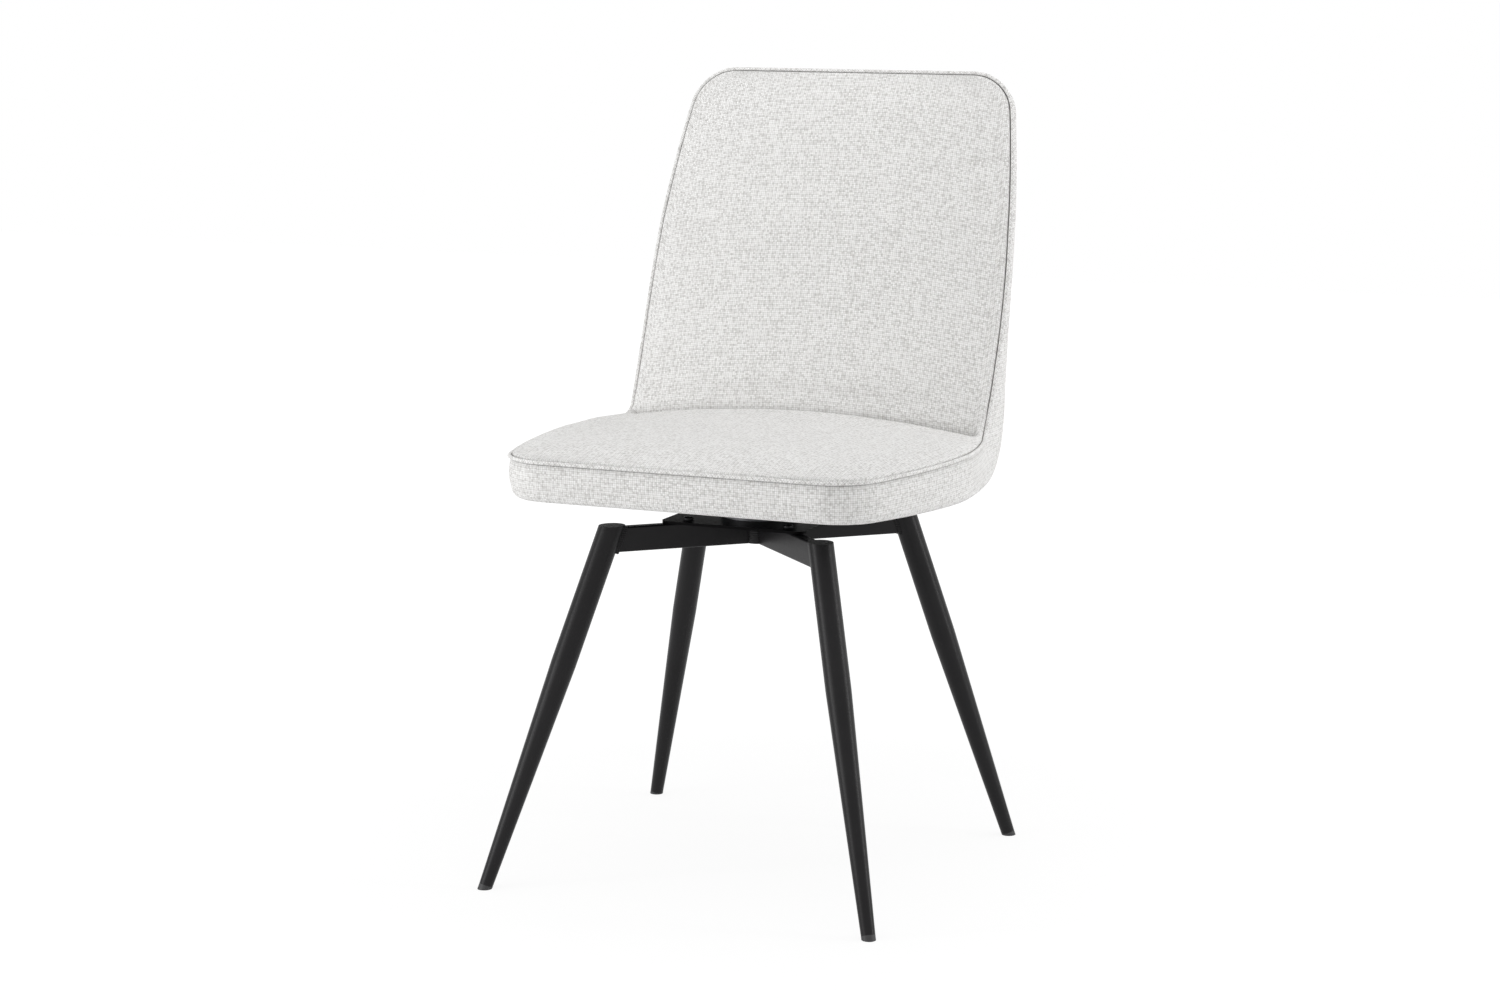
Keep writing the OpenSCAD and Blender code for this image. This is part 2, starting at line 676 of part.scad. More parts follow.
// The sewn cover round the edges and over the rear: a tray of an outer and an inner skin,
// open in front and, between two stations, under the seat board
module outer_cover() {
    n = len(all_stations);
    first = len(crown_shares);
    rows = 2 * (len(side_shares) + len(corner_angles)) + 3;
    mid = (rows - 1) / 2;
    outer = [for (st = all_stations)
        let (s = section(st, 0)) for (k = [0 : rows - 1]) s[first + k]];
    inner = [for (st = all_stations)
        let (s = section(st, cover_t)) for (k = [0 : rows - 1]) s[first + k]];
    function o(i, k) = i * rows + k;
    function u(i, k) = n * rows + min(max(i, 1), n - 2) * rows + k;
    function is_open(i, k) = i >= open_first && i < open_last && (k == mid - 1 || k == mid);
    skins = [for (i = [0 : n - 2], k = [0 : rows - 2]) if (!is_open(i, k)) each [
        [o(i, k), o(i + 1, k + 1), o(i, k + 1)],
        [o(i, k), o(i + 1, k), o(i + 1, k + 1)]]];
    linings = [for (i = [1 : n - 3], k = [0 : rows - 2]) if (!is_open(i, k)) each [
        [u(i, k), u(i, k + 1), u(i + 1, k + 1)],
        [u(i, k), u(i + 1, k + 1), u(i + 1, k)]]];
    seam_right = [for (i = [0 : n - 2]) each concat(
        [[o(i, 0), u(i + 1, 0), o(i + 1, 0)]],
        i > 0 && i < n - 2 ? [[o(i, 0), u(i, 0), u(i + 1, 0)]] : [])];
    seam_left = [for (i = [0 : n - 2]) let (k = rows - 1) each concat(
        [[o(i, k), o(i + 1, k), u(i + 1, k)]],
        i > 0 && i < n - 2 ? [[o(i, k), u(i + 1, k), u(i, k)]] : [])];
    ends = concat(
        [for (k = [1 : rows - 2]) [o(0, 0), o(0, k), o(0, k + 1)]],
        [for (k = [1 : rows - 2]) [u(1, 0), u(1, k + 1), u(1, k)]],
        [for (k = [1 : rows - 2]) [o(n - 1, 0), o(n - 1, k + 1), o(n - 1, k)]],
        [for (k = [1 : rows - 2]) [u(n - 2, 0), u(n - 2, k), u(n - 2, k + 1)]],
        [[o(0, 0), u(1, rows - 1), u(1, 0)], [o(0, 0), o(0, rows - 1), u(1, rows - 1)],
         [o(n - 1, 0), u(n - 2, 0), u(n - 2, rows - 1)],
         [o(n - 1, 0), u(n - 2, rows - 1), o(n - 1, rows - 1)]]);
    rim = concat(
        [for (i = [open_first : open_last - 1]) each [
            [o(i, mid - 1), u(i + 1, mid - 1), u(i, mid - 1)],
            [o(i, mid - 1), o(i + 1, mid - 1), u(i + 1, mid - 1)],
            [o(i, mid + 1), u(i, mid + 1), u(i + 1, mid + 1)],
            [o(i, mid + 1), u(i + 1, mid + 1), o(i + 1, mid + 1)]]],
        [for (k = [mid - 1, mid]) each [
            [o(open_first, k), u(open_first, k), u(open_first, k + 1)],
            [o(open_first, k), u(open_first, k + 1), o(open_first, k + 1)],
            [o(open_last, k), u(open_last, k + 1), u(open_last, k)],
            [o(open_last, k), o(open_last, k + 1), u(open_last, k + 1)]]]);
    color(cloth) at_axis()
        polyhedron(points = concat(outer, inner),
            faces = concat(skins, linings, seam_right, seam_left, ends, rim));
}

// The dust cover fills the opening that the turned-under cover leaves
module dust_cover() {
    edge = [for (i = [open_first : open_last]) let (st = all_stations[i])
        [rear_half(st) - cloth_play,
         st[1][0] + (i == open_first ? cloth_play : i == open_last ? -cloth_play : 0)]];
    color(black)
    difference() {
        at_board() translate([0, 0, -dust_t]) linear_extrude(dust_t)
            polygon(concat(edge, [for (i = [len(edge) - 1 : -1 : 0]) [-edge[i][0], edge[i][1]]]));
        at_tee_nuts() translate([0, 0, -dust_t - overrun])
            cylinder(h = dust_t + 2 * overrun, r = seat_bolt_d / 2 + hole_play, $fn = fn_small);
    }
}

// Piping: a round cord along the seam, up one side, over the top, down and along the front
module piping() {
    n = len(all_stations);
    ends = [0.5, 0, -0.5];
    right = [for (s = all_stations) [[s[2], s[0][0], s[0][1]], [0, s[5][0], s[5][1]]]];
    top = [for (e = ends) let (s = all_stations[n - 1])
        [[e * s[2], s[0][0], s[0][1]], [0, s[5][0], s[5][1]]]];
    left = [for (i = [n - 1 : -1 : 0]) let (s = all_stations[i])
        [[-s[2], s[0][0], s[0][1]], [0, s[5][0], s[5][1]]]];
    bottom = [for (e = ends) let (s = all_stations[0])
        [[-e * s[2], s[0][0], s[0][1]], [0, s[5][0], s[5][1]]]];
    path = concat(right, top, left, bottom);
    m = len(path);
    sides = 8;
    pts = [for (i = [0 : m - 1])
        let (before = path[(i + m - 1) % m][0], after = path[(i + 1) % m][0], run = after - before,
             along = run / norm(run), out = cross(along, path[i][1]), side_dir = out / norm(out),
             lift = cross(side_dir, along))
        for (j = [0 : sides - 1]) let (a = 360 * (j + 0.5) / sides)
            path[i][0] + welt_d / 2 * (cos(a) * lift + sin(a) * side_dir)];
    faces = [for (i = [0 : m - 1], j = [0 : sides - 1], h = [0, 1])
        let (k = (j + 1) % sides, p = i * sides, q = ((i + 1) % m) * sides)
        h == 0 ? [p + j, q + k, p + k] : [p + j, q + j, q + k]];
    color(cloth) at_axis() polyhedron(points = pts, faces = faces);
}

// The seat board's outline follows the seams, drawn in from the sides and from the front
module board_outline() {
    front = -seat_front + board_inset;
    rows = [for (s = [0 : 0.1 : 1]) front + s * (board_rear - front)];
    side = [for (y = rows) [seat_half(y - board_inset * board_corner_share) - board_inset, y]];
    polygon(concat(side, [for (i = [len(side) - 1 : -1 : 0]) [-side[i][0], side[i][1]]]));
}

module board_blank()
    at_board() linear_extrude(seat_board_t) board_outline();

// Room for the board in the foam, open underneath
module board_pocket()
    at_board() translate([0, 0, -overrun]) linear_extrude(seat_board_t + overrun) board_outline();

module seat_board() {
    color(ply)
    difference() {
        board_blank();
        at_tee_nuts() translate([0, 0, -overrun])
            cylinder(h = seat_board_t + 2 * overrun, r = tee_barrel_d / 2, $fn = fn_small);
        at_seat_screws() pilot_hole(seat_board_t);
    }
}

// Frame of the back: local x across, y up the slope, z forwards out of the front face
module at_back() at_axis() translate([0, back_y, seam_z]) rotate([90 - lean, 0, 0]) children();

module back_board_blank() {
    rows = [for (s = [0 : 0.1 : 1]) back_board_foot + s * (back_l - back_board_head - back_board_foot)];
    side = [for (t = rows) [back_half(min(t + back_board_head, back_l)) - back_board_inset, t]];
    at_back() translate([0, 0, -back_board_n - back_board_t]) linear_extrude(back_board_t)
        polygon(concat(side, [for (i = [len(side) - 1 : -1 : 0]) [-side[i][0], side[i][1]]]));
}

module back_board() {
    color(ply)
    difference() {
        back_board_blank();
        at_back_screws() pilot_hole(back_board_t);
    }
}

// Where a line at depth n behind the back's face meets a plane h above the seat board's underside
function corner_t(n, h) =
    (under_z + h / cos(seat_tilt) - tan(seat_tilt) * (back_y + n * cos(lean)) - seam_z + n * sin(lean))
    / (cos(lean) + tan(seat_tilt) * sin(lean));
bracket_n = back_board_n + back_board_t;
function on_board(y, h) = [y, under_z + h / cos(seat_tilt) - y * tan(seat_tilt)];

// Side view of a bracket; in the foam it is cut a little deeper, into the boards' own pockets
module bracket_profile(sink) {
    y1 = board_rear - bracket_reach;
    polygon([on_board(y1, seat_board_t - sink),
        bp(corner_t(bracket_n + bracket_t, seat_board_t - sink), bracket_n + bracket_t),
        bp(bracket_height, bracket_n + bracket_t),
        bp(bracket_height, bracket_n - sink),
        bp(corner_t(bracket_n - sink, seat_board_t + bracket_t), bracket_n - sink),
        on_board(y1, seat_board_t + bracket_t)]);
}

module brackets_blank(sink) {
    for (sx = [-1, 1])
        at_axis() translate([sx * bracket_x - bracket_w / 2, 0, 0])
            rotate([90, 0, 90]) linear_extrude(bracket_w) bracket_profile(sink);
}

// Screw positions, on the outer face of the bracket, with the shank downwards
module at_seat_screws()
    at_board() for (sx = [-1, 1], i = [0, 1])
        translate([sx * bracket_x, board_rear - bracket_reach + screw_edge + i * screw_pitch,
                seat_board_t + bracket_t])
            children();
module at_back_screws()
    at_back() for (sx = [-1, 1], i = [0, 1])
        translate([sx * bracket_x, bracket_height - screw_edge - i * screw_pitch, -bracket_n - bracket_t])
            mirror([0, 0, 1]) children();

module pilot_hole(board_t)
    translate([0, 0, -bracket_t - board_t * screw_bite_share])
        cylinder(h = board_t * screw_bite_share + bracket_t, r = screw_d / 2, $fn = fn_small);

module screw_hole()
    translate([0, 0, -bracket_t - overrun])
        cylinder(h = bracket_t + 2 * overrun, r = screw_d / 2 + hole_play, $fn = fn_small);

module back_brackets() {
    color(black)
    difference() {
        brackets_blank(0);
        at_seat_screws() screw_hole();
        at_back_screws() screw_hole();
    }
}

module bracket_screws() {
    color(zinc) {
        at_seat_screws() bolt(screw_d, bracket_t + seat_board_t * screw_bite_share);
        at_back_screws() bolt(screw_d, bracket_t + back_board_t * screw_bite_share);
    }
}

front_left_leg();
front_right_leg();
rear_left_leg();
rear_right_leg();
leg_caps();
foot_glides();
long_cross_arm();
front_cross_arm();
rear_cross_arm();
lower_plate();
plate_bolts();
lower_race();
bearing_balls();
ball_cage();
pivot_stud();
pivot_washer();
pivot_nut();
upper_plate();
upper_race();
pivot_bush();
seat_bolts();
seat_tee_nuts();
seat_board();
back_board();
back_brackets();
bracket_screws();
seat_cushion();
back_cushion();
outer_cover();
piping();
dust_cover();
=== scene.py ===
import json
import math
import bpy
import bmesh
import numpy as np
from mathutils import Matrix, Vector, noise

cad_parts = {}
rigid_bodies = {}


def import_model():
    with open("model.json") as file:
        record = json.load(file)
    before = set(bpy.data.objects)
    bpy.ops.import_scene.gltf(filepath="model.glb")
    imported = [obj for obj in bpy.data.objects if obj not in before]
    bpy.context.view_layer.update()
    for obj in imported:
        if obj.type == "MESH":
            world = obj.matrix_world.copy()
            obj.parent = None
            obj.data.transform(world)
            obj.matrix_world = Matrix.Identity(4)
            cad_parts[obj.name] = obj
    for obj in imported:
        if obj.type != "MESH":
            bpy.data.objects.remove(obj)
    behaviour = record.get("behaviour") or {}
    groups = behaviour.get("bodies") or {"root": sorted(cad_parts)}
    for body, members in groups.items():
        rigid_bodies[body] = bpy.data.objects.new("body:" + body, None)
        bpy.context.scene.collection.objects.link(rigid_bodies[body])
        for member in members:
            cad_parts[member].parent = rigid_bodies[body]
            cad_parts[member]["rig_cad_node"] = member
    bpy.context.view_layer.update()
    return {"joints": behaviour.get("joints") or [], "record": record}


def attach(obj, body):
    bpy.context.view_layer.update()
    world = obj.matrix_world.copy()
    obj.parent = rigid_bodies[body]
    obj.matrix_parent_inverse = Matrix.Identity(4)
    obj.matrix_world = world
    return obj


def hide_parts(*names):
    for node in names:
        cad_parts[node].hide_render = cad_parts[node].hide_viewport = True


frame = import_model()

cad = {o["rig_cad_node"]: o for o in bpy.context.scene.objects if "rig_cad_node" in o}
AXIS_Y = frame["joints"][0]["pos_m"][1]

# ------------------------------------------------ camera, where the photographer stood
lens = bpy.data.cameras.new("camera")
lens.sensor_width, lens.lens = 36, 78.02
camera = bpy.data.objects.new("camera", lens)
bpy.context.scene.collection.objects.link(camera)
AZIMUTH, ELEVATION = 0.4168, 0.1743
toward_camera = Vector((math.sin(AZIMUTH) * math.cos(ELEVATION),
                        -math.cos(AZIMUTH) * math.cos(ELEVATION),
                        math.sin(ELEVATION)))
camera.location = (1.4462, -3.3225, 1.0489)
camera.rotation_euler = (-toward_camera).to_track_quat("-Z", "Y").to_euler()
bpy.context.scene.camera = camera
bpy.context.scene.view_settings.view_transform = "Standard"

# ------------------------------------------------ sizes of the upholstery, in metres
SEAT_W, SEAT_FRONT_W, WAIST_W = 0.492, 0.404, 0.441
SEAT_FRONT, SEAM_Z, UNDER_Z = 0.224, 0.481, 0.4295
TILT = math.tan(math.radians(2))
SEAT_CROWN, BACK_CROWN = 0.015, 0.012
FRONT_R, LOWER_R, TOP_R, TOP_EDGE_R = 0.040, 0.012, 0.042, 0.015
BACK_Y, LEAN, BACK_L = 0.126, math.radians(20.3), 0.428
BACK_W, BACK_TOP_W, BACK_T, BACK_FOOT_T = 0.444, 0.386, 0.036, 0.071
COVER_T, WELT_R = 0.0016, 0.0022
WELT_OUT, WELT_BACK = 0.0015, 0.0031    # middle of the piping from the seam line
INNER_BEND_R, OUTER_BEND_R, REAR_START = 0.024, 0.082, 0.055
BELLY, SIDE_BULGE, CROWN_RUN = 0.28, 0.0025, 0.150
SIN, COS = math.sin(LEAN), math.cos(LEAN)
YARN = 0.001175           # from one yarn of the weave to the next
TUCK = 0.0005             # the panels' edges lie this far inside the seam
FOLD_H, FOLD_PULL, FOLD_TURN = 0.0200, 0.0065, 0.0045   # fold: height at the middle, depth, roundness
SEAT_LIFT = 0.0034        # the seat panel's edge stands this much above the middle of the seam
BACK_HOLLOW, HOLLOW_SHARE, HOLLOW_LEAD = 0.0043, 0.57, 0.8


def corner_loss(d, r):
    return 0.0 if d >= r else r - math.sqrt(max(0.0, r * r - (r - d) ** 2))


def smooth(a, b, x):
    t = min(1.0, max(0.0, (x - a) / (b - a)))
    return t * t * (3 - 2 * t)


def seat_side(y):
    if y < 0:
        return SEAT_W / 2 - (SEAT_W - SEAT_FRONT_W) / 2 * (-y / SEAT_FRONT) ** 1.8
    return SEAT_W / 2 - (SEAT_W - WAIST_W) / 2 * min(y / BACK_Y, 1) ** 1.7


def back_side(t):
    if t < BACK_L * BELLY:
        return WAIST_W / 2 + (BACK_W - WAIST_W) / 2 * math.sin(math.pi / 2 * max(t, 0) / (BACK_L * BELLY))
    return BACK_W / 2 - (BACK_W - BACK_TOP_W) / 2 * ((t / BACK_L - BELLY) / (1 - BELLY)) ** 2


THICK_RUN = 2 * (BACK_FOOT_T - BACK_T) / math.tan(LEAN)


def back_depth(t):
    return BACK_T + (BACK_FOOT_T - BACK_T) * max(0.0, 1 - (t - REAR_START) / THICK_RUN) ** 2


def back_point(t, n):
    return Vector((0, BACK_Y + t * SIN + n * COS, SEAM_Z + t * COS - n * SIN))


def under(y):
    return UNDER_Z - COVER_T - y * TILT


BEND = math.pi / 2 - LEAN
BACK_START = INNER_BEND_R * math.tan(BEND / 2)
BEND_START = BACK_Y - BACK_START
BEND_END = back_point(REAR_START, BACK_FOOT_T)
OUTER_START = BEND_END.y - OUTER_BEND_R
BEND_RUN = INNER_BEND_R * BEND
SEAT_RUN = SEAT_FRONT + BEND_START      # along the seam: seat, then bend, then back
TOTAL_RUN = SEAT_RUN + BEND_RUN + BACK_L - BACK_START


def hollow(t):
    s = (t - BACK_START) / (HOLLOW_SHARE * BACK_L - BACK_START)
    return BACK_HOLLOW * math.sin(math.pi * min(max(s, 0.0), 1.0) ** HOLLOW_LEAD)


def rise(edge):
    return (1 - max(0.0, 1 - max(0.0, edge - 0.004) / CROWN_RUN) ** 3) ** 0.8


def station(run):
    """The upholstery's cross-section at a length along the seam, from the front of the seat
    to the top of the back: seam point, rear point, direction along, half-width, crown."""
    if run <= SEAT_RUN:
        y = run - SEAT_FRONT
        share = max(0.0, y / BEND_START)
        rear_y = y if y < 0 else y + (OUTER_START - BEND_START) * share ** 2
        return dict(seam=Vector((0, y, SEAM_Z + SEAT_LIFT)), rear=Vector((0, rear_y, under(rear_y))),
                    along=Vector((0, 1, 0)), up=Vector((0, 0, 1)),
                    side=seat_side(y), edge=run, corner=FRONT_R, edge_r=LOWER_R,
                    crown=(SEAT_CROWN - SEAT_LIFT) * rise(run))
    if run < SEAT_RUN + BEND_RUN:
        b = (run - SEAT_RUN) / BEND_RUN
        a, ao = BEND * b, math.pi / 2 * b
        w = WAIST_W / 2 + (seat_side(BEND_START) - WAIST_W / 2) * (1 - b) ** 2
        lift = SEAT_LIFT * (1 - smooth(0, 1, b))
        r = INNER_BEND_R - lift
        rear_z = under(OUTER_START) + (BEND_END.z - under(OUTER_START)) * (1 - math.cos(ao))
        return dict(seam=Vector((0, BEND_START + r * math.sin(a), SEAM_Z + INNER_BEND_R - r * math.cos(a))),
                    rear=Vector((0, OUTER_START + OUTER_BEND_R * math.sin(ao), rear_z)),
                    along=Vector((0, math.cos(a), math.sin(a))),
                    up=Vector((0, -math.sin(a), math.cos(a))),
                    side=w, edge=1.0, corner=FRONT_R,
                    edge_r=LOWER_R + (BACK_T / 2 - LOWER_R) * b,
                    crown=SEAT_CROWN + (BACK_CROWN - SEAT_CROWN) * b - lift)
    t = run - SEAT_RUN - BEND_RUN + BACK_START
    edge = max(0.0, BACK_L - t)
    rt = REAR_START + (t - BACK_START) * (BACK_L - REAR_START) / (BACK_L - BACK_START)
    return dict(seam=back_point(t, hollow(t)), rear=back_point(rt, back_depth(rt)),
                along=Vector((0, SIN, COS)), up=Vector((0, -COS, SIN)),
                side=back_side(t), edge=edge, corner=TOP_R,
                edge_r=TOP_EDGE_R + (BACK_T / 2 - TOP_EDGE_R) * smooth(0.01, 0.06, edge),
                crown=BACK_CROWN * rise(edge))


def half_width(st, inset=0.0):
    return st["side"] - inset - corner_loss(max(st["edge"] - inset, 0.0), st["corner"] - inset)


def place(x, p):
    return Vector((x, p.y + AXIS_Y, p.z))


def wander(p, size, seed):
    """A smooth random value from -1 to 1 that changes over a given length."""
    x, y, z = (c / size for c in p)
    return noise.noise(Vector((x + seed * 17.3, y - seed * 5.1, z + seed * 3.7)))


def spread(a, b, n):
    """The n places that lead evenly from a, which is left out, to b."""
    return [a + (b - a) * i / n for i in range(1, n + 1)]


# ------------------------------------------------ mesh helpers
def new_piece(name, verts, faces, uvs=None, material=None):
    mesh = bpy.data.meshes.new(name)
    mesh.from_pydata([tuple(v) for v in verts], [], faces)
    if uvs is not None:
        layer = mesh.uv_layers.new(name="cloth")
        if callable(uvs):
            for poly in mesh.polygons:
                for corner, uv in zip(poly.loop_indices, uvs(poly)):
                    layer.data[corner].uv = uv
        else:
            for corner, loop in enumerate(mesh.loops):
                layer.data[corner].uv = uvs[loop.vertex_index]
    mesh.update()
    piece = bpy.data.objects.new(name, mesh)
    bpy.context.scene.collection.objects.link(piece)
    if material:
        mesh.materials.append(material)
    return piece


def paint_seam_shade(piece, values):
    """Painted shade in the seams, from 0 to 1 at each point, that darkens the cloth's colour."""
    layer = piece.data.attributes.new("painted_seam_shade", "FLOAT", "POINT")
    for item, value in zip(layer.data, values):
        item.value = value


def face_outwards(piece):
    bm = bmesh.new()
    bm.from_mesh(piece.data)
    bmesh.ops.recalc_face_normals(bm, faces=bm.faces)
    bm.to_mesh(piece.data)
    bm.free()


def round_off(piece):
    for p in piece.data.polygons:
        p.use_smooth = True


def subdivided(piece, levels=1):
    m = piece.modifiers.new("smooth", "SUBSURF")
    m.levels = m.render_levels = levels
    m.uv_smooth = "PRESERVE_CORNERS"
    return piece


def pick_only(piece):
    bpy.ops.object.select_all(action="DESELECT")
    piece.select_set(True)
    bpy.context.view_layer.objects.active = piece


def apply_modifiers(piece):
    pick_only(piece)
    for m in list(piece.modifiers):
        bpy.ops.object.modifier_apply(modifier=m.name)


def settled(piece, held, frames, mass, stretch, shear, bend, pressure=None):
    """Where the cloth simulation leaves a piece's points. held gives the points that are
    fixed, each with its share. With a pressure inside, the cloth's weight doesn't count."""
    group = piece.vertex_groups.new(name="held")
    for index, share in held.items():
        group.add([index], share, "REPLACE")
    m = piece.modifiers.new("cloth", "CLOTH")
    m.settings.vertex_group_mass = "held"
    m.settings.mass, m.settings.quality = mass, 6
    m.settings.tension_stiffness = m.settings.compression_stiffness = stretch
    m.settings.shear_stiffness, m.settings.bending_stiffness = shear, bend
    if pressure is not None:
        m.settings.use_pressure, m.settings.uniform_pressure_force = True, pressure
        m.settings.effector_weights.gravity = 0
    m.point_cache.frame_start, m.point_cache.frame_end = 1, frames
    for f in range(1, frames + 1):
        bpy.context.scene.frame_set(f)
    ready = piece.evaluated_get(bpy.context.evaluated_depsgraph_get())
    points = [v.co.copy() for v in ready.to_mesh().vertices]
    ready.to_mesh_clear()
    piece.modifiers.remove(m)
    piece.vertex_groups.remove(group)
    bpy.context.scene.frame_set(1)
    return points


# ------------------------------------------------ materials
def finish_material(name, **values):
    m = bpy.data.materials.new(name)
    m.use_nodes = True
    tree = m.node_tree
    shader = tree.nodes["Principled BSDF"]
    for key, value in values.items():
        shader.inputs[key.replace("_", " ")].default_value = value
    return m, tree, shader


def wired(tree, node, sockets):
    """Each input of a shader node takes a value or the output of another node."""
    for key, value in sockets.items():
        if isinstance(value, bpy.types.NodeSocket):
            tree.links.new(value, node.inputs[key])
        else:
            node.inputs[key].default_value = value
    return node


def maths(tree, operation, a, b=None):
    node = tree.nodes.new("ShaderNodeMath")
    node.operation = operation
    return wired(tree, node, {0: a} if b is None else {0: a, 1: b}).outputs[0]


def vector_maths(tree, operation, *values):
    node = tree.nodes.new("ShaderNodeVectorMath")
    node.operation = operation
    return wired(tree, node, dict(enumerate(values)))


def ramp(tree, fac, stops):
    node = tree.nodes.new("ShaderNodeValToRGB")
    elements = node.color_ramp.elements
    while len(elements) > 1:
        elements.remove(elements[0])
    for i, (pos, colour) in enumerate(stops):
        e = elements.new(pos) if i else elements[0]
        e.position, e.color = pos, (*colour, 1)
    return wired(tree, node, {0: fac}).outputs[0]


def toned(colour, share):
    return tuple(min(1, share * x) for x in colour)


def multiplied(tree, colour, cover, share=1.0):
    node = tree.nodes.new("ShaderNodeMix")
    node.data_type, node.blend_type = "RGBA", "MULTIPLY"
    return wired(tree, node, {0: share, 6: colour, 7: cover}).outputs[2]      # its colour sockets


def own_place(tree):
    return tree.nodes.new("ShaderNodeTexCoord").outputs["Object"]


def parts_of(tree, vector):
    return wired(tree, tree.nodes.new("ShaderNodeSeparateXYZ"), {0: vector}).outputs


def noise_at(tree, vector, scale, detail=2.0, rough=0.5, out="Fac"):
    node = tree.nodes.new("ShaderNodeTexNoise")
    wired(tree, node, {"Vector": vector, "Scale": scale, "Detail": detail, "Roughness": rough})
    return node.outputs[out]


def stretched(tree, vector, scale, turn=(0, 0, 0)):
    node = tree.nodes.new("ShaderNodeMapping")
    return wired(tree, node, {"Vector": vector, "Scale": scale, "Rotation": turn}).outputs[0]


def bumped(tree, height, distance, strength, under_bump=None):
    node = tree.nodes.new("ShaderNodeBump")
    wired(tree, node, {"Height": height, "Distance": distance, "Strength": strength})
    if under_bump is not None:
        wired(tree, node, {"Normal": under_bump})
    return node.outputs[0]


def woven_cloth(name, turn=0.0):
    """Coarse basket weave of melange yarn, two yarns over two, on a map that is in metres. Its colour also
    carries painted shade between the yarns and in the seams.
    """
    m, tree, shader = finish_material(name, Roughness=0.92, Specular_IOR_Level=0.15, Sheen_Weight=0.2,
                                      Sheen_Roughness=0.45, Sheen_Tint=(1.0, 0.995, 0.985, 1))
    uv = tree.nodes.new("ShaderNodeUVMap")
    uv.uv_map = "cloth"
    place_map = stretched(tree, uv.outputs[0], (1 / YARN,) * 3, (0, 0, turn))
    # the yarns wander a little
    drift = noise_at(tree, place_map, 0.10, 3.0, out="Color")
    shift = vector_maths(tree, "MULTIPLY_ADD", drift, (1.3, 1.3, 0), place_map).outputs[0]
    u, v = parts_of(tree, shift)[:2]

    def wave(t, yarns, kind="SINE"):
        return maths(tree, kind, maths(tree, "MULTIPLY", t, math.pi / yarns))

    def scaled(value, by, plus=0.0):
        return maths(tree, "ADD", maths(tree, "MULTIPLY", value, by), plus)

    over = maths(tree, "MULTIPLY", maths(tree, "MULTIPLY", wave(u, 2), wave(v, 2)), 0.85)
    over = maths(tree, "MAXIMUM", maths(tree, "MINIMUM", over, 0.5), -0.5)
    warp_round = scaled(maths(tree, "ABSOLUTE", wave(u, 1)), 0.3, 0.7)
    weft_round = scaled(maths(tree, "ABSOLUTE", wave(v, 1)), 0.3, 0.7)
    warp_h = maths(tree, "MULTIPLY", maths(tree, "ADD", 0.5, over), warp_round)
    weft_h = maths(tree, "MULTIPLY", maths(tree, "SUBTRACT", 0.5, over), weft_round)
    height = maths(tree, "MAXIMUM", warp_h, weft_h)
    # each float has a tone of its own, each yarn a run of lighter and darker fibre
    cell = vector_maths(tree, "FLOOR", stretched(tree, shift, (0.5, 0.5, 0))).outputs[0]
    chance = tree.nodes.new("ShaderNodeTexWhiteNoise")
    chance.noise_dimensions = "2D"
    wired(tree, chance, {"Vector": cell})
    warp_tone = noise_at(tree, stretched(tree, place_map, (0.95, 0.16, 1)), 1.0, 3.0, 0.65)
    weft_tone = noise_at(tree, stretched(tree, place_map, (0.16, 0.95, 1)), 1.0, 3.0, 0.65)
    is_warp = maths(tree, "GREATER_THAN", warp_h, weft_h)
    mix = tree.nodes.new("ShaderNodeMix")
    mix.data_type = "FLOAT"
    wired(tree, mix, {0: is_warp, 2: weft_tone, 3: warp_tone})
    every_other = maths(tree, "ADD", wave(u, 2, "COSINE"), wave(v, 2, "COSINE"))
    tone = maths(tree, "ADD", scaled(mix.outputs[0], 0.35), scaled(chance.outputs["Value"], 0.50))
    tone = maths(tree, "ADD", tone, scaled(every_other, 0.07, 0.08))
    colour = ramp(tree, tone, [(0.15, CLOTH_DARK), (0.45, CLOTH_MID), (0.80, CLOTH_LIGHT)])
    # painted shade: the colour darkens where the yarns dip, in the gaps between the floats
    painted_gap_shade = ramp(tree, height, [(0.30, (0.42, 0.41, 0.39)), (0.52, (0.82, 0.815, 0.80)), (0.78, (1, 1, 1))])
    # painted shade: the colour is darkened where the points are marked as lying in a seam's ditch
    seam = tree.nodes.new("ShaderNodeAttribute")
    seam.attribute_name = "painted_seam_shade"
    painted_ditch_shade = ramp(tree, seam.outputs["Fac"], [(0.0, (1, 1, 1)), (1.0, (0.22, 0.215, 0.21))])
    fuzz = noise_at(tree, place_map, 5.0, 2.0)
    relief = maths(tree, "ADD", height, maths(tree, "MULTIPLY", fuzz, 0.2))
    wired(tree, shader, {"Base Color": multiplied(tree, multiplied(tree, colour, painted_gap_shade), painted_ditch_shade),
                         "Normal": bumped(tree, relief, 0.00055, 0.9)})
    return m


WELD_RIPPLE, PLY_PITCH = 0.0021, 0.0028


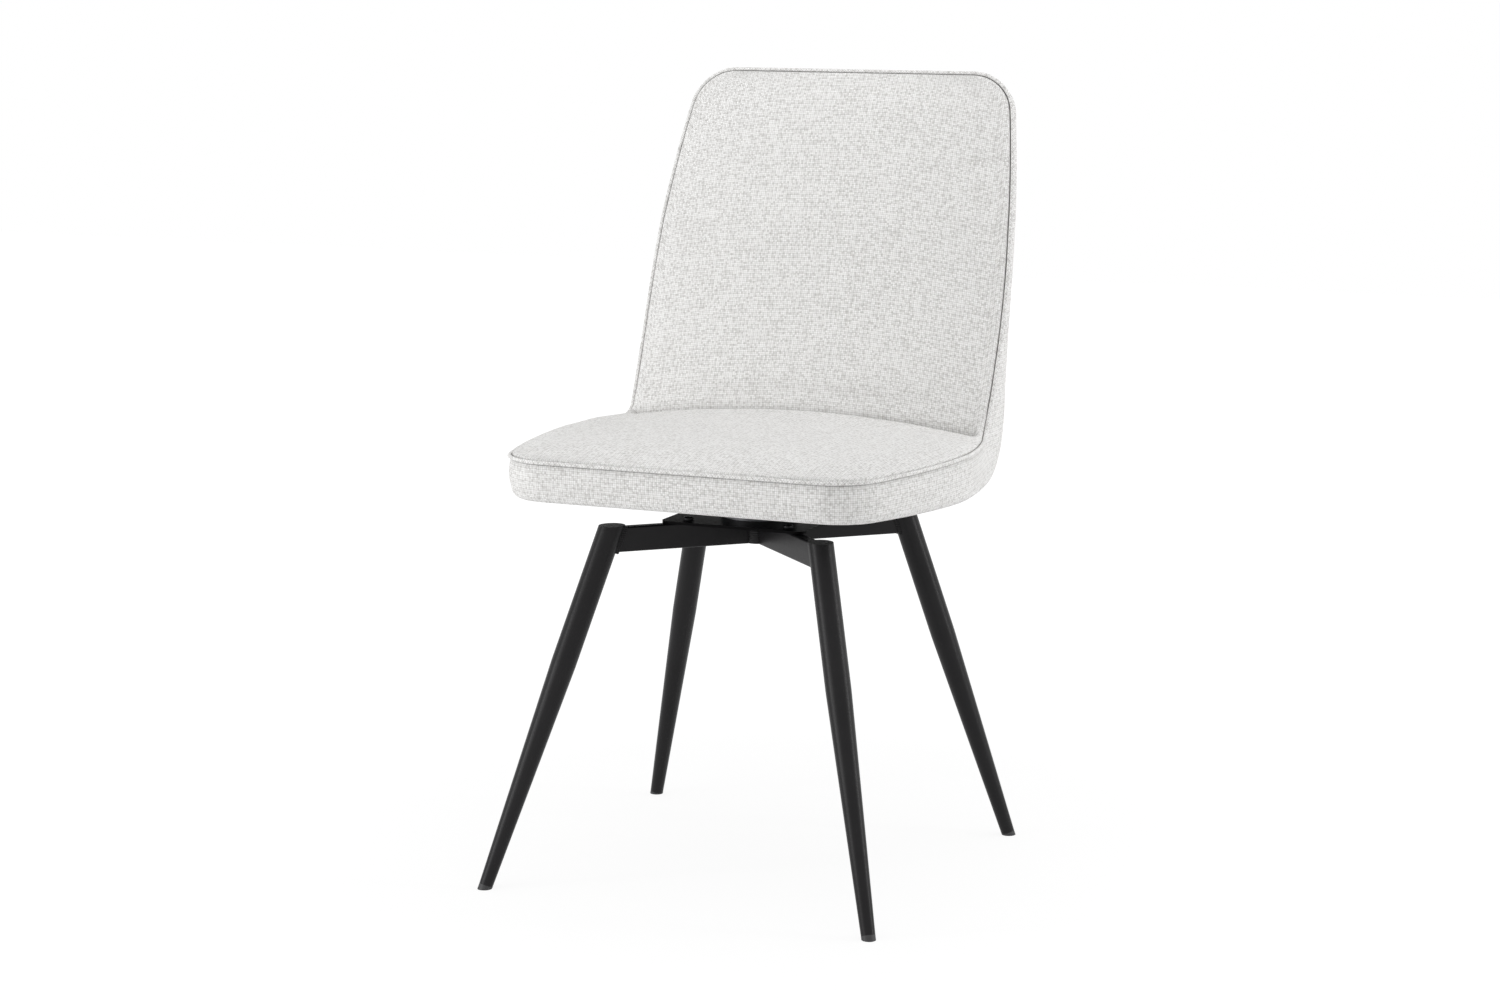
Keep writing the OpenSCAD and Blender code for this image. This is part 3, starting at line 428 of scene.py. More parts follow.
def powder_coat(name, colour=(0.0135, 0.0130, 0.0138), beads=False, gloss=0.15):
    """Matt black powder coat: fine orange peel, uneven in tone. Over a weld the bead's ripples show."""
    m, tree, shader = finish_material(name, Roughness=0.4, Specular_IOR_Level=gloss)
    at = own_place(tree)
    broad = noise_at(tree, at, 14.0, 3.0, 0.6)
    grain = noise_at(tree, at, 1400.0, 2.0, 0.6)
    relief = bumped(tree, noise_at(tree, at, 420.0, 2.0, 0.5), 0.00012, 0.6)
    if beads:
        uneven = maths(tree, "MULTIPLY", noise_at(tree, at, 300.0, 2.0), 2.4)
        rising = maths(tree, "MULTIPLY", parts_of(tree, at)[2], 2 * math.pi / WELD_RIPPLE)
        ripple = maths(tree, "SINE", maths(tree, "ADD", rising, uneven))
        relief = bumped(tree, maths(tree, "ADD", ripple, uneven), 0.00022, 0.8, relief)
    wired(tree, shader, {
        "Base Color": ramp(tree, broad, [(0.3, toned(colour, 0.88)), (0.7, toned(colour, 1.15))]),
        "Roughness": ramp(tree, grain, [(0.25, (0.29,) * 3), (0.75, (0.40,) * 3)]),
        "Normal": bumped(tree, grain, 0.00005, 0.6, relief)})
    return m


def bright_metal(name, colour, rough, scale=(1, 1, 18)):
    m, tree, shader = finish_material(name, Metallic=1.0, Roughness=rough)
    at = own_place(tree)
    broad = noise_at(tree, at, 60.0, 4.0, 0.6)
    lines = noise_at(tree, stretched(tree, at, scale), 380.0, 3.0, 0.6)
    wired(tree, shader, {
        "Base Color": ramp(tree, broad, [(0.3, toned(colour, 0.86)), (0.7, colour)]),
        "Roughness": ramp(tree, lines, [(0.3, (rough * 0.8,) * 3), (0.7, (rough * 1.3,) * 3)]),
        "Normal": bumped(tree, lines, 0.00003, 0.5)})
    return m


def moulded(name, colour, rough=0.5, cloudy=0.0):
    m, tree, shader = finish_material(name, Roughness=rough)
    if cloudy:
        wired(tree, shader, {"Subsurface Weight": cloudy, "Subsurface Radius": (0.002, 0.002, 0.0015)})
    at = own_place(tree)
    tone = noise_at(tree, at, 30.0, 3.0, 0.5)
    wired(tree, shader, {
        "Base Color": ramp(tree, tone, [(0.3, toned(colour, 0.9)), (0.7, toned(colour, 1.06))]),
        "Normal": bumped(tree, noise_at(tree, at, 2200.0, 2.0, 0.5), 0.00006, 0.6)})
    return m


def birch_ply(name):
    """Veneer face with long figure, and the plies as thin bands across the thickness."""
    m, tree, shader = finish_material(name, Roughness=0.62)
    at = own_place(tree)
    figure = noise_at(tree, stretched(tree, at, (60, 5, 60)), 1.0, 5.0, 0.62)
    veneer = ramp(tree, figure, [(0.3, (0.52, 0.36, 0.20)), (0.5, (0.66, 0.49, 0.30)),
                                 (0.72, (0.74, 0.58, 0.38))])
    plies = maths(tree, "SINE", maths(tree, "MULTIPLY", parts_of(tree, at)[2], 2 * math.pi / PLY_PITCH))
    band = ramp(tree, maths(tree, "MULTIPLY_ADD", plies, 0.5), [(0.35, (0.70, 0.70, 0.70)), (0.6, (1, 1, 1))])
    wired(tree, shader, {"Base Color": multiplied(tree, veneer, band, 0.35),
                         "Normal": bumped(tree, figure, 0.0002, 0.5)})
    return m


def felted_cloth(name):
    """Thin black non-woven lining: pressed fibres and a regular pattern of bonded points."""
    m, tree, shader = finish_material(name, Roughness=0.95, Specular_IOR_Level=0.2, Sheen_Weight=0.1)
    at = own_place(tree)
    fibre = noise_at(tree, stretched(tree, at, (1, 0.35, 1)), 900.0, 4.0, 0.7)
    dots = tree.nodes.new("ShaderNodeTexVoronoi")
    wired(tree, dots, {"Vector": at, "Scale": 700.0, "Randomness": 0.15})
    relief = maths(tree, "ADD", maths(tree, "MULTIPLY", dots.outputs["Distance"], 0.7),
                   maths(tree, "MULTIPLY", fibre, 0.3))
    wired(tree, shader, {
        "Base Color": ramp(tree, fibre, [(0.3, (0.010, 0.010, 0.011)), (0.7, (0.035, 0.035, 0.036))]),
        "Normal": bumped(tree, relief, 0.0002, 0.8)})
    return m


CLOTH_DARK, CLOTH_MID, CLOTH_LIGHT = (0.60, 0.590, 0.577), (0.84, 0.835, 0.827), (0.97, 0.968, 0.963)
cloth = woven_cloth("woven_upholstery")
welt_cloth = woven_cloth("woven_piping", math.radians(45))
coat = powder_coat("black_powder_coat")
bead_coat = powder_coat("coat_over_welds", beads=True)
# painted shade: a darker, less glossy copy of the black coat for the plates, which lie in shade under the
# seat
plate_coat_with_painted_shade = powder_coat("black_coat_with_painted_shade", (0.0050, 0.0048, 0.0051), gloss=0.02)
zinc = bright_metal("zinc_plated_steel", (0.66, 0.67, 0.69), 0.34)
steel = bright_metal("bearing_steel", (0.22, 0.22, 0.23), 0.42, (1, 1, 1))
black_oxide = bright_metal("black_oxide_steel", (0.055, 0.055, 0.058), 0.38, (1, 1, 1))
nylon = moulded("cage_nylon", (0.028, 0.028, 0.029), 0.35)
acetal = moulded("bush_acetal", (0.78, 0.76, 0.69), 0.35, 0.15)
glide_black = moulded("glide_plastic", (0.026, 0.026, 0.027), 0.55)
ply = birch_ply("plywood")
lining = felted_cloth("dust_cloth")
by_slot = {"black_powder_coat": coat, "zinc_plated_steel": zinc, "black_oxide_steel": black_oxide,
           "bearing_steel": steel, "cage_nylon": nylon, "bush_acetal": acetal, "glide_plastic": glide_black,
           "plywood": ply, "woven_upholstery": cloth, "dust_cloth": lining}
slot_of = {s["node"]: s["material_slot"] for s in frame["record"]["subparts"]}
for node, piece in cad.items():
    # painted shade: the two plates take the darker copy of the black coat
    plate = node in ("lower_plate", "upper_plate")
    piece.data.materials.clear()
    piece.data.materials.append(plate_coat_with_painted_shade if plate else by_slot[slot_of[node]])


# ------------------------------------------------ seam line round the whole upholstery
def side_runs():
    """Lengths along the seam where the walls have a section, close together in the corners."""
    from_front = (0, 1, 2.5, 4.6, 7.4, 11, 15.2, 20, 25.5, 31.8, 38.8)      # mm
    from_top = (34.6, 27.8, 22, 17, 12.6, 8.8, 5.6, 3.1, 1.3, 0)
    bend_end = SEAT_RUN + BEND_RUN
    runs = [e / 1000 for e in from_front] + spread(FRONT_R, SEAT_RUN, 36) + spread(SEAT_RUN, bend_end, 8)
    return runs + spread(bend_end, TOTAL_RUN - TOP_R, 46) + [TOTAL_RUN - e / 1000 for e in from_top]


SIDE_RUNS = side_runs()
ACROSS = 48


def seam_loop():
    """Points of the seam in the flattened cloth (x, run), anticlockwise from the front left."""
    front_half = half_width(station(0))
    loop = [(front_half * (2 * i / ACROSS - 1), 0.0, "front") for i in range(ACROSS + 1)]
    loop += [(half_width(station(r)), r, "right") for r in SIDE_RUNS[1:]]
    top_half = half_width(station(TOTAL_RUN))
    loop += [(top_half * (1 - 2 * i / ACROSS), TOTAL_RUN, "top") for i in range(1, ACROSS + 1)]
    return loop + [(-half_width(station(r)), r, "left") for r in reversed(SIDE_RUNS[1:-1])]


LOOP = seam_loop()
N = len(LOOP)
OUTWARD = []
for i in range(N):
    ax, ar, _ = LOOP[i - 1]
    bx, br, _ = LOOP[(i + 1) % N]
    d = Vector((bx - ax, br - ar)).normalized()
    OUTWARD.append(Vector((d.y, -d.x)))
WALK = [0.0]
for i in range(1, N + 1):
    a, b = LOOP[i - 1], LOOP[i % N]
    WALK.append(WALK[-1] + math.hypot(b[0] - a[0], b[1] - a[1]))


def seam_frame(i):
    """Place, outward direction and inward (towards the rear) direction at a point of the seam."""
    x, run, _ = LOOP[i]
    st = station(run)
    back_dir = (st["rear"] - st["seam"]).normalized()
    out = Vector((OUTWARD[i].x, 0, 0)) + st["along"] * OUTWARD[i].y
    return place(x, st["seam"]), out.normalized(), back_dir, st


def seam_distance(points):
    """Distance of points of the flattened cloth from the seam's own line."""
    fine = []
    for i in range(N):
        a, b = LOOP[i], LOOP[(i + 1) % N]
        fine += [(a[0] + (b[0] - a[0]) * k / 3, a[1] + (b[1] - a[1]) * k / 3) for k in range(3)]
    fine = np.array(fine)
    seg = np.roll(fine, -1, axis=0) - fine
    out = []
    for p in np.array(points):
        t = np.clip(((p - fine) * seg).sum(1) / (seg * seg).sum(1), 0, 1)
        gap = p - (fine + seg * t[:, None])
        out.append(float(np.sqrt((gap ** 2).sum(1)).min()))
    return out


# ------------------------------------------------ seat pad and back pad
INSETS = [0, 0.1, 0.25, 0.45, 0.7, 1.1, 1.7, 2.7, 4.2, 6, 8.5, 12, 16.5, 22]      # mm from the seam
MID_COLUMNS = 64
CREASE_RUN = SEAT_RUN + BEND_RUN * 0.5
STUFF_START = 0.80        # share of the crown before the pads are stuffed
FOLD_REACH = 0.075        # the rows give way to the fold over this length
FOLD_HOLD = 0.045         # and the fold holds the cloth this far while it is stuffed
MOST_SLIDE = 0.0005       # stuffing moves the cloth along itself no further than this
FLAT_POWER, SEAT_LESS = 3.2, 0.7        # how flat the crown is across the back, and less on the seat
FOLD_POWER = 2.1                        # the same for the fold's height
FOLD_ENDS = 0.945, 0.985                # here the fold runs out into the bend of the seam
EDGE_TURN, EDGE_FADE = 0.0020, 0.005    # the panel turns up within this, and swells over that
EDGE_DOWN, EDGE_UP, EDGE_SWELL = 0.0040, 0.0046, 0.0016
UNDER_DEEP, UNDER_LEAST, UNDER_DRAWN = 0.016, 0.003, 0.985      # the pads' hidden underside


def column_x(half):
    edge = [i / 1000 for i in INSETS]
    inner = half - edge[-1]
    left = [-half + e for e in edge]
    middle = [-inner + 2 * inner * i / MID_COLUMNS for i in range(1, MID_COLUMNS)]
    return left + middle + [-x for x in reversed(left)]


def fold_foot(u):
    """Where the seat's face and the back's face would meet: height over the seam, run up the back."""
    high = FOLD_H * (1 - abs(u) ** FOLD_POWER)
    return high, (high - BACK_CROWN * (1 - abs(u) ** FLAT_POWER) * SIN) / COS


def edge_roll(d):
    """Height of the panel over its seam plane: it turns down steeply beside the piping."""
    turn = math.sqrt(1 - (1 - min(d / EDGE_TURN, 1.0)) ** 2)
    return EDGE_UP * turn - EDGE_DOWN + EDGE_SWELL * (1 - math.exp(-d / EDGE_FADE))


def back_run(run, u):
    """Length up the back of a row of the back pad; the rows close to the fold start at its foot."""
    t = run - SEAT_RUN - BEND_RUN + BACK_START
    s = run - CREASE_RUN
    if 0 <= s < FOLD_REACH:
        t += (fold_foot(u)[1] - (CREASE_RUN - SEAT_RUN - BEND_RUN + BACK_START)) * (1 - s / FOLD_REACH)
    return t


def panel_point(run, x, u, distance):
    """The sitter's face of the upholstery at rest, before it is stuffed."""
    st = station(run)
    s = run - CREASE_RUN
    power = FLAT_POWER - SEAT_LESS * (1 - smooth(-0.06, 0.06, s))
    bent = st["seam"] + st["up"] * (st["crown"] * STUFF_START * (1 - abs(u) ** power))
    high, foot = fold_foot(u)
    if s < 0:
        lift = (SEAT_CROWN - SEAT_LIFT) * rise(run) * STUFF_START * (1 - abs(u) ** power)
        near = smooth(-0.10, 0.0, s)
        y_foot = BACK_Y + foot * SIN - BACK_CROWN * (1 - abs(u) ** FLAT_POWER) * COS
        y = run - SEAT_FRONT + (y_foot - (CREASE_RUN - SEAT_FRONT)) * smooth(-FOLD_REACH, 0.0, s)
        open_face = Vector((0, y, SEAM_Z + (SEAT_LIFT + lift) * (1 - near) + high * near))
    else:
        t = back_run(run, u)
        edge = max(0.0, BACK_L - t)
        crown = BACK_CROWN * rise(edge) * (1 - abs(u) ** FLAT_POWER)
        crown *= STUFF_START + (1 - STUFF_START) * (1 - smooth(0.0, 0.09, s))
        open_face = back_point(t, hollow(t)) + Vector((0, -COS, SIN)) * crown
        s = t - foot if s < FOLD_REACH else 1.0
    fade = smooth(*FOLD_ENDS, abs(u))
    pull = FOLD_PULL * math.exp(-abs(s) / FOLD_TURN) * (1 - fade)
    open_face += Vector((0, math.sin(BEND / 2), -math.cos(BEND / 2))) * pull
    return open_face.lerp(bent, fade) + st["up"] * edge_roll(distance)


def lay_cloth(points, rows, cols):
    """Map a panel's grid by its own lengths, measured from its middle column and its first row."""
    def length(a, b):
        return (points[b] - points[a]).length

    middle = cols // 2
    across, down = [0.0] * (rows * cols), [0.0] * (rows * cols)
    for first in range(0, rows * cols, cols):
        for k in range(first + middle + 1, first + cols):
            across[k] = across[k - 1] + length(k - 1, k)
        for k in range(first + middle - 1, first - 1, -1):
            across[k] = across[k + 1] - length(k, k + 1)
    for k in range(cols, rows * cols):
        down[k] = down[k - cols] + length(k - cols, k)
    return list(zip(across, down))


def build_pad(name, runs):
    points, flat = [], []
    for r in runs:
        half = half_width(station(r), TUCK)
        for x in column_x(half):
            flat.append((x, r))
            points.append((r, x, x / half))
    near = [max(0.0, d - TUCK) for d in seam_distance(flat)]
    rows, total = len(runs), len(flat)
    cols = total // rows
    verts = [place(x, panel_point(r, x, u, d)) for (r, x, u), d in zip(points, near)]
    uvs = lay_cloth(verts, rows, cols)
    # the hidden underside is drawn in from the edges and lies a little deeper
    below = list(range(total))
    for i, ((x, r), d) in enumerate(zip(flat, near)):
        row, col = divmod(i, cols)
        if 0 < row < rows - 1 and 0 < col < cols - 1:
            st = station(r)
            depth = UNDER_DEEP * (1 - math.exp(-d / 0.01)) + UNDER_LEAST
            below[i] = len(verts)
            verts.append(place(x * UNDER_DRAWN, st["seam"] - st["up"] * depth))
            uvs.append((x, r))
    faces = []
    for i in range(rows - 1):
        for a in range(i * cols, (i + 1) * cols - 1):
            b, c, d = a + 1, a + cols + 1, a + cols
            faces += [(a, b, c, d), tuple(below[k] for k in (a, d, c, b))]
    piece = new_piece(name, verts, faces, uvs, cloth)
    # painted shade: the panel's colour darkens where its edge turns down beside the piping
    painted_edge_shade = [1 - smooth(-0.0022, -0.0011, edge_roll(d)) for d in near]
    paint_seam_shade(piece, painted_edge_shade + [0.0] * (len(verts) - total))
    return piece, dict(rows=rows, cols=cols, near=near, points=points)


def stuff(piece, info, cap):
    """Pressure from inside swells the sewn panel between its seams, up to a cap."""
    rows, cols = info["rows"], info["cols"]
    mesh = piece.data
    rest = [v.co.copy() for v in mesh.vertices]
    held = {v.index: 1.0 for v in mesh.vertices}
    for i in range(1, rows - 1):
        for k in range(i * cols + 1, (i + 1) * cols - 1):
            to_fold = abs(info["points"][k][0] - CREASE_RUN)
            if to_fold < FOLD_HOLD:
                held[k] = 1 - smooth(0.004, FOLD_HOLD, to_fold)
            else:
                del held[k]
    swollen = settled(piece, held, frames=20, mass=0.25, stretch=22, shear=8, bend=1.5, pressure=4.0)
    moved = 0.0
    for i, v in enumerate(mesh.vertices):
        step = swollen[i] - rest[i]
        if i < rows * cols:
            up = station(info["points"][i][0])["up"]
            lift = max(0.0, step.dot(up))
            lift = cap * (1 - math.exp(-lift / cap))
            slide = step - up * step.dot(up)
            if slide.length > MOST_SLIDE:
                slide *= MOST_SLIDE / slide.length
            step = up * lift + slide
        elif step.length > cap:
            step *= cap / step.length
        moved = max(moved, step.length)
        v.co = rest[i] + step
    print(piece.name, "swelled by", round(moved * 1000, 2), "mm")


def settle_surface(piece, info, seed):
    """Small puckers that run in from the seams, and a faint unevenness of the stuffing."""
    mesh = piece.data
    for i, ((r, x, u), d) in enumerate(zip(info["points"], info["near"])):
        p = (x, r, 0)
        soft = 0.0006 * wander(p, 0.055, seed) + 0.00028 * wander(p, 0.024, seed + 1)
        pucker = 0.00035 * math.exp(-d / 0.012) * smooth(0.0, 0.003, d) * wander(p, 0.009, seed + 2)
        mesh.vertices[i].co += station(r)["up"] * (soft * smooth(0.0, 0.006, d) + pucker)


def pad(name, node, runs, cap, seed):
    piece, info = build_pad(name, runs)
    stuff(piece, info, cap)
    settle_surface(piece, info, seed)
    round_off(piece)
    # the edge along the fold stays where the other pad's edge is
    crease_row = info["rows"] - 1 if name == "seat_pad" else 0
    edge = set(range(crease_row * info["cols"], (crease_row + 1) * info["cols"]))
    mesh = piece.data
    creases = mesh.attributes.new("crease_edge", "FLOAT", "EDGE")
    for e in mesh.edges:
        if e.vertices[0] in edge and e.vertices[1] in edge:
            creases.data[e.index].value = 1.0
            e.use_edge_sharp = True
    subdivided(piece)
    apply_modifiers(piece)
    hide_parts(node)
    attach(piece, "seat")


EDGE_ROWS = (0, 0.1, 0.25, 0.45, 0.7, 1.1, 1.7, 2.7, 4.2, 6, 8.5, 12, 16.5, 22, 27.5, 33.5)
FOLD_ROWS = (0, 0.5, 1.2, 2.2, 3.4, 4.8, 6.5, 8.6, 11.2, 14.5, 18.6, 23.4, 28.6, 34)
FROM_EDGE = [TUCK + e / 1000 for e in EDGE_ROWS]
FROM_FOLD = [e / 1000 for e in FOLD_ROWS]


def seat_rows():
    middle = spread(FROM_EDGE[-1], CREASE_RUN - FROM_FOLD[-1], 42)
    return FROM_EDGE + middle + [CREASE_RUN - e for e in reversed(FROM_FOLD[:-1])]


def back_rows():
    start = CREASE_RUN + FROM_FOLD[-1]
    middle = spread(start, TOTAL_RUN - FROM_EDGE[-1], 60)
    return ([CREASE_RUN + e for e in FROM_FOLD] + middle
            + [TOTAL_RUN - e for e in reversed(FROM_EDGE[:-1])])


pad("seat_pad", "seat_cushion", seat_rows(), cap=0.0045, seed=3)
pad("back_pad", "back_cushion", back_rows(), cap=0.0040, seed=9)


# ------------------------------------------------ outer shell of the cover
# A section of the wall runs from the piping over the side, round the corner and across the
# rear or the underside.
SHOULDER = ((0.0010, -0.0008), (0.0002, -0.0002), (-0.0004, 0.0003), (-0.0008, 0.0011))
# painted shade on the shoulder's points, darkest next to the piping
SHOULDER_PAINTED_SHADE = (1.0, 0.85, 0.4, 0.1)
SHOULDER_H = 0.0026
SIDE_STEPS, CORNER_STEPS, FLAT_STEPS = 6, 6, (0.009, 0.014, 0.021, 0.030)
# plain seam round the rear panel: distance past the corner, depth, painted shade
SEWN_STEPS = ((0.0012, 0.0, 0.0), (0.0019, 0.0004, 0.15), (0.0024, 0.0011, 0.8),
              (0.0029, 0.0004, 0.15), (0.0038, 0.0, 0.0))
FIRST_CORNER = len(SHOULDER) + SIDE_STEPS + 1
FIRST_SEWN = FIRST_CORNER + CORNER_STEPS
MID_SEWN = FIRST_SEWN + len(SEWN_STEPS) // 2
RINGS = FIRST_SEWN + len(SEWN_STEPS) + len(FLAT_STEPS)
OPEN_UNTIL = SEAT_RUN * 0.93            # in front of this the underside is open
FLAT_REAR = TOTAL_RUN - 0.12            # from here up the rear is flat
MAP_START = 2.0                         # keeps the cloth maps of different panels apart
REAR_RUNS = [0.0] + spread(0.0, TOTAL_RUN, 400)
REAR_WALK = [0.0]
for a, b in zip(REAR_RUNS, REAR_RUNS[1:]):
    REAR_WALK.append(REAR_WALK[-1] + (station(b)["rear"] - station(a)["rear"]).length)


def rear_length(run):
    """Length along the rear of the upholstery, from the front, at a length along the seam."""
    return float(np.interp(run, REAR_RUNS, REAR_WALK)) + MAP_START


def rear_map(p, run):
    """The same for a point of the rear; near the top it is measured from the top edge."""
    if run < FLAT_REAR:
        return rear_length(run)
    end = station(TOTAL_RUN)
    return rear_length(TOTAL_RUN) + (p - place(p.x, end["rear"])).dot(end["along"])


def wall_section(i):
    """The wall's points at a point of the seam, and the painted shade of each in the seams."""
    at, out, back, st = seam_frame(i)
    depth = (st["rear"] - st["seam"]).length
    r = min(st["edge_r"], depth * 0.6)
    start = WELT_BACK + WELT_R

    def across(inset, short):
        """Round a corner the sections end before they meet."""
        return min(inset, st["corner"] - short if st["edge"] < st["corner"] else 1)

    steps = [(inset, start + deep) for inset, deep in SHOULDER]
    for k in range(SIDE_STEPS + 1):
        v = k / SIDE_STEPS
        deep = start + SHOULDER_H + (depth - r - start - SHOULDER_H) * v
        bulge = (SIDE_BULGE * math.sin(math.pi * (0.12 + 0.88 * v))
                 + 0.0006 * math.sin(math.pi * v) * wander((WALK[i], deep, 0), 0.05, 21))
        steps.append((-bulge, deep))
    for a in spread(0.0, math.pi / 2, CORNER_STEPS):
        steps.append((r * (1 - math.cos(a)), depth - r + r * math.sin(a)))
    sewn = smooth(OPEN_UNTIL, OPEN_UNTIL + 0.03, LOOP[i][1])
    steps += [(across(r + past, 0.0030), depth - sunk * sewn) for past, sunk, _ in SEWN_STEPS]
    steps += [(across(r + past, 0.0015), depth) for past in FLAT_STEPS]
    # painted shade on the shoulder beside the piping and in the ditch of the rear seam
    painted_shades = list(SHOULDER_PAINTED_SHADE) + [0.0] * (FIRST_SEWN - len(SHOULDER))
    painted_shades += [shade * sewn for _, _, shade in SEWN_STEPS] + [0.0] * len(FLAT_STEPS)
    return [at - out * inset + back * deep for inset, deep in steps], painted_shades


def rear_panel(verts, uvs):
    """Rows from the left wall to the right one, from the open end of the underside to the top."""
    left, right, top = {}, {}, []
    for i, (_, run, part) in enumerate(LOOP):
        if part == "right" or i == ACROSS:
            right[round(run, 6)] = i
        elif part == "left" or i == 0:
            left[round(run, 6)] = i
        elif part == "top":
            top.append(i)
    rows = []
    for run in SIDE_RUNS[:-1]:
        if run < OPEN_UNTIL:
            continue
        a, b = (side[round(run, 6)] * RINGS + RINGS - 1 for side in (left, right))
        row = [a]
        for q in range(1, ACROSS):
            p = verts[a].lerp(verts[b], q / ACROSS)
            row.append(len(verts))
            verts.append(p)
            uvs.append((p.x, rear_map(p, run)))
        rows.append(row + [b])
    rows.append([i * RINGS + RINGS - 1 for i in reversed([right[round(TOTAL_RUN, 6)]] + top)])
    return [(lo[q], hi[q], hi[q + 1], lo[q + 1]) for lo, hi in zip(rows, rows[1:]) for q in range(ACROSS)]


def shell():
    """Boxing round all edges, turned under the seat, with the rear panel of the back."""
    verts, uvs, painted_shades = [], [], []
    for i in range(N):
        points, shade = wall_section(i)
        length = 0.0
        for k, p in enumerate(points):
            length += (p - points[k - 1]).length if k else 0.0
            uvs.append((WALK[i], length))
        verts += points
        painted_shades += shade
    faces = []
    for i in range(N):
        a, b = i * RINGS, (i + 1) % N * RINGS
        faces += [(a + k, a + k + 1, b + k + 1, b + k) for k in range(RINGS - 1)]
    faces += rear_panel(verts, uvs)

    def face_uv(poly):
        """Flat sides are mapped straight on, the corners by length, the rear by its own length."""
        ids = list(poly.vertices)
        loops = [LOOP[v // RINGS] if v < N * RINGS else None for v in ids]
        rings = [v % RINGS for v in ids]
        right = verts[ids[0]].x > 0
        if all(at is None or (at[1] >= OPEN_UNTIL and k >= MID_SEWN) for at, k in zip(loops, rings)):
            return [(verts[v].x, rear_map(verts[v], at[1]) if at else uvs[v][1])
                    for v, at in zip(ids, loops)]
        if all(part in ("left", "right") and 0.036 < run < TOTAL_RUN - 0.020 for _, run, part in loops):
            if max(rings) <= FIRST_CORNER:
                return [(verts[v].y + 1.0, verts[v].z + (0 if right else 0.0123)) for v in ids]
            if loops[0][1] > OPEN_UNTIL:
                apart = 3.0 if right else 4.0
                return [(rear_length(at[1]), uvs[v][1] + apart) for v, at in zip(ids, loops)]
        closing = any(v // RINGS == N - 1 for v in ids)
        return [(WALK[N] if closing and v < RINGS else uvs[v][0], uvs[v][1]) for v in ids]

    piece = new_piece("cover_shell", verts, faces, face_uv, cloth)
    paint_seam_shade(piece, painted_shades + [0.0] * (len(verts) - len(painted_shades)))
    face_outwards(piece)
    round_off(piece)
    return piece


cover_shell = shell()
cloth_wall = cover_shell.modifiers.new("cloth_thickness", "SOLIDIFY")
cloth_wall.thickness, cloth_wall.offset = 0.0014, -1
subdivided(cover_shell)
apply_modifiers(cover_shell)
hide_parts("outer_cover")
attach(cover_shell, "seat")


# ------------------------------------------------ piping
def piping():
    """The cord in the seam, a little uneven in place and thickness."""
    sides = 14
    verts, uvs = [], []
    for i in range(N):
        at, out, back, _ = seam_frame(i)
        wav = 0.00025 * wander((WALK[i], 0, 0), 0.03, 31)
        r = WELT_R * (1 + 0.03 * wander((WALK[i], 0, 0), 0.02, 33))
        for k in range(sides):
            a = 2 * math.pi * k / sides
            verts.append(at + out * (WELT_OUT + r * math.cos(a) + wav) + back * (WELT_BACK - r * math.sin(a)))
            uvs.append((WALK[i], r * a))
    faces = []
    for i in range(N):
        a, b = i * sides, (i + 1) % N * sides
        for k in range(sides):
            m = (k + 1) % sides
            faces.append((a + k, b + k, b + m, a + m))

    def face_uv(poly):
        """The map goes on over the joins, round the chair and round the cord."""
        ids = list(poly.vertices)
        closing = any(v // sides == N - 1 for v in ids)
        wrapping = any(v % sides == sides - 1 for v in ids)
        return [(WALK[N] if closing and v < sides else uvs[v][0],
                 uvs[v][1] + (2 * math.pi * WELT_R if wrapping and v % sides == 0 else 0)) for v in ids]

    piece = new_piece("seam_piping", verts, faces, face_uv, welt_cloth)
    # painted shade: the cord's colour is darkened where it meets the panel (195 degrees) and the wall (262
    # degrees)
    turns = [360 * k / sides for k in range(sides)]
    painted_cord_shade = [max(math.exp(-((a - 195) / 32) ** 2), math.exp(-((a - 262) / 30) ** 2)) for a in turns]
    paint_seam_shade(piece, painted_cord_shade * N)
    face_outwards(piece)
    round_off(piece)
    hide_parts("piping")
    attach(piece, "seat")


piping()

# ------------------------------------------------ lining under the seat, with its staples
LINING_IN, LINING_REAR, LINING_T = 0.034, 0.1076, 0.0003
STAPLE_IN, STAPLE_PITCH = 0.0036, 0.042
ON_COVER, HEM_W, HEM_T = 0.0015, 0.008, 0.0003      # the strips' thickness, the turned-in hem
PLATE_X, PLATE_Y = 0.087, 0.078                     # the upper plate presses the lining on
BOLTS = [(x, y) for x in (-0.071, 0.071) for y in (-0.062, 0.062)]
BOLT_HOLE = 0.0062
LINING_EDGE = [e / 1000 for e in (0, 0.5, 1.4, 2.8, 4.6, 6.4, 7.1, 7.5, 8.0, 9.4, 11.5, 14, 17)]
MOST_SAG = 0.0014


def lining_height(y, from_edge):
    """The lining lies on the board, and its turned-in edge on the cover's strips."""
    on_cover = ON_COVER * (1 - smooth(HEM_W, 2 * HEM_W, from_edge))
    hem = HEM_T * (1 - smooth(HEM_W - 0.001, HEM_W, from_edge))
    return UNDER_Z - y * TILT - 0.0004 - on_cover - hem


def lining_rows():
    k = (OUTER_START - BEND_START) / BEND_START ** 2
    rear = SEAT_FRONT + (math.sqrt(1 + 4 * k * LINING_REAR) - 1) / (2 * k)
    inner = LINING_IN + LINING_EDGE[-1]
    middle = spread(inner, rear - LINING_EDGE[-1], 44)[:-1]
    return [LINING_IN + e for e in LINING_EDGE] + middle + [rear - e for e in reversed(LINING_EDGE)]


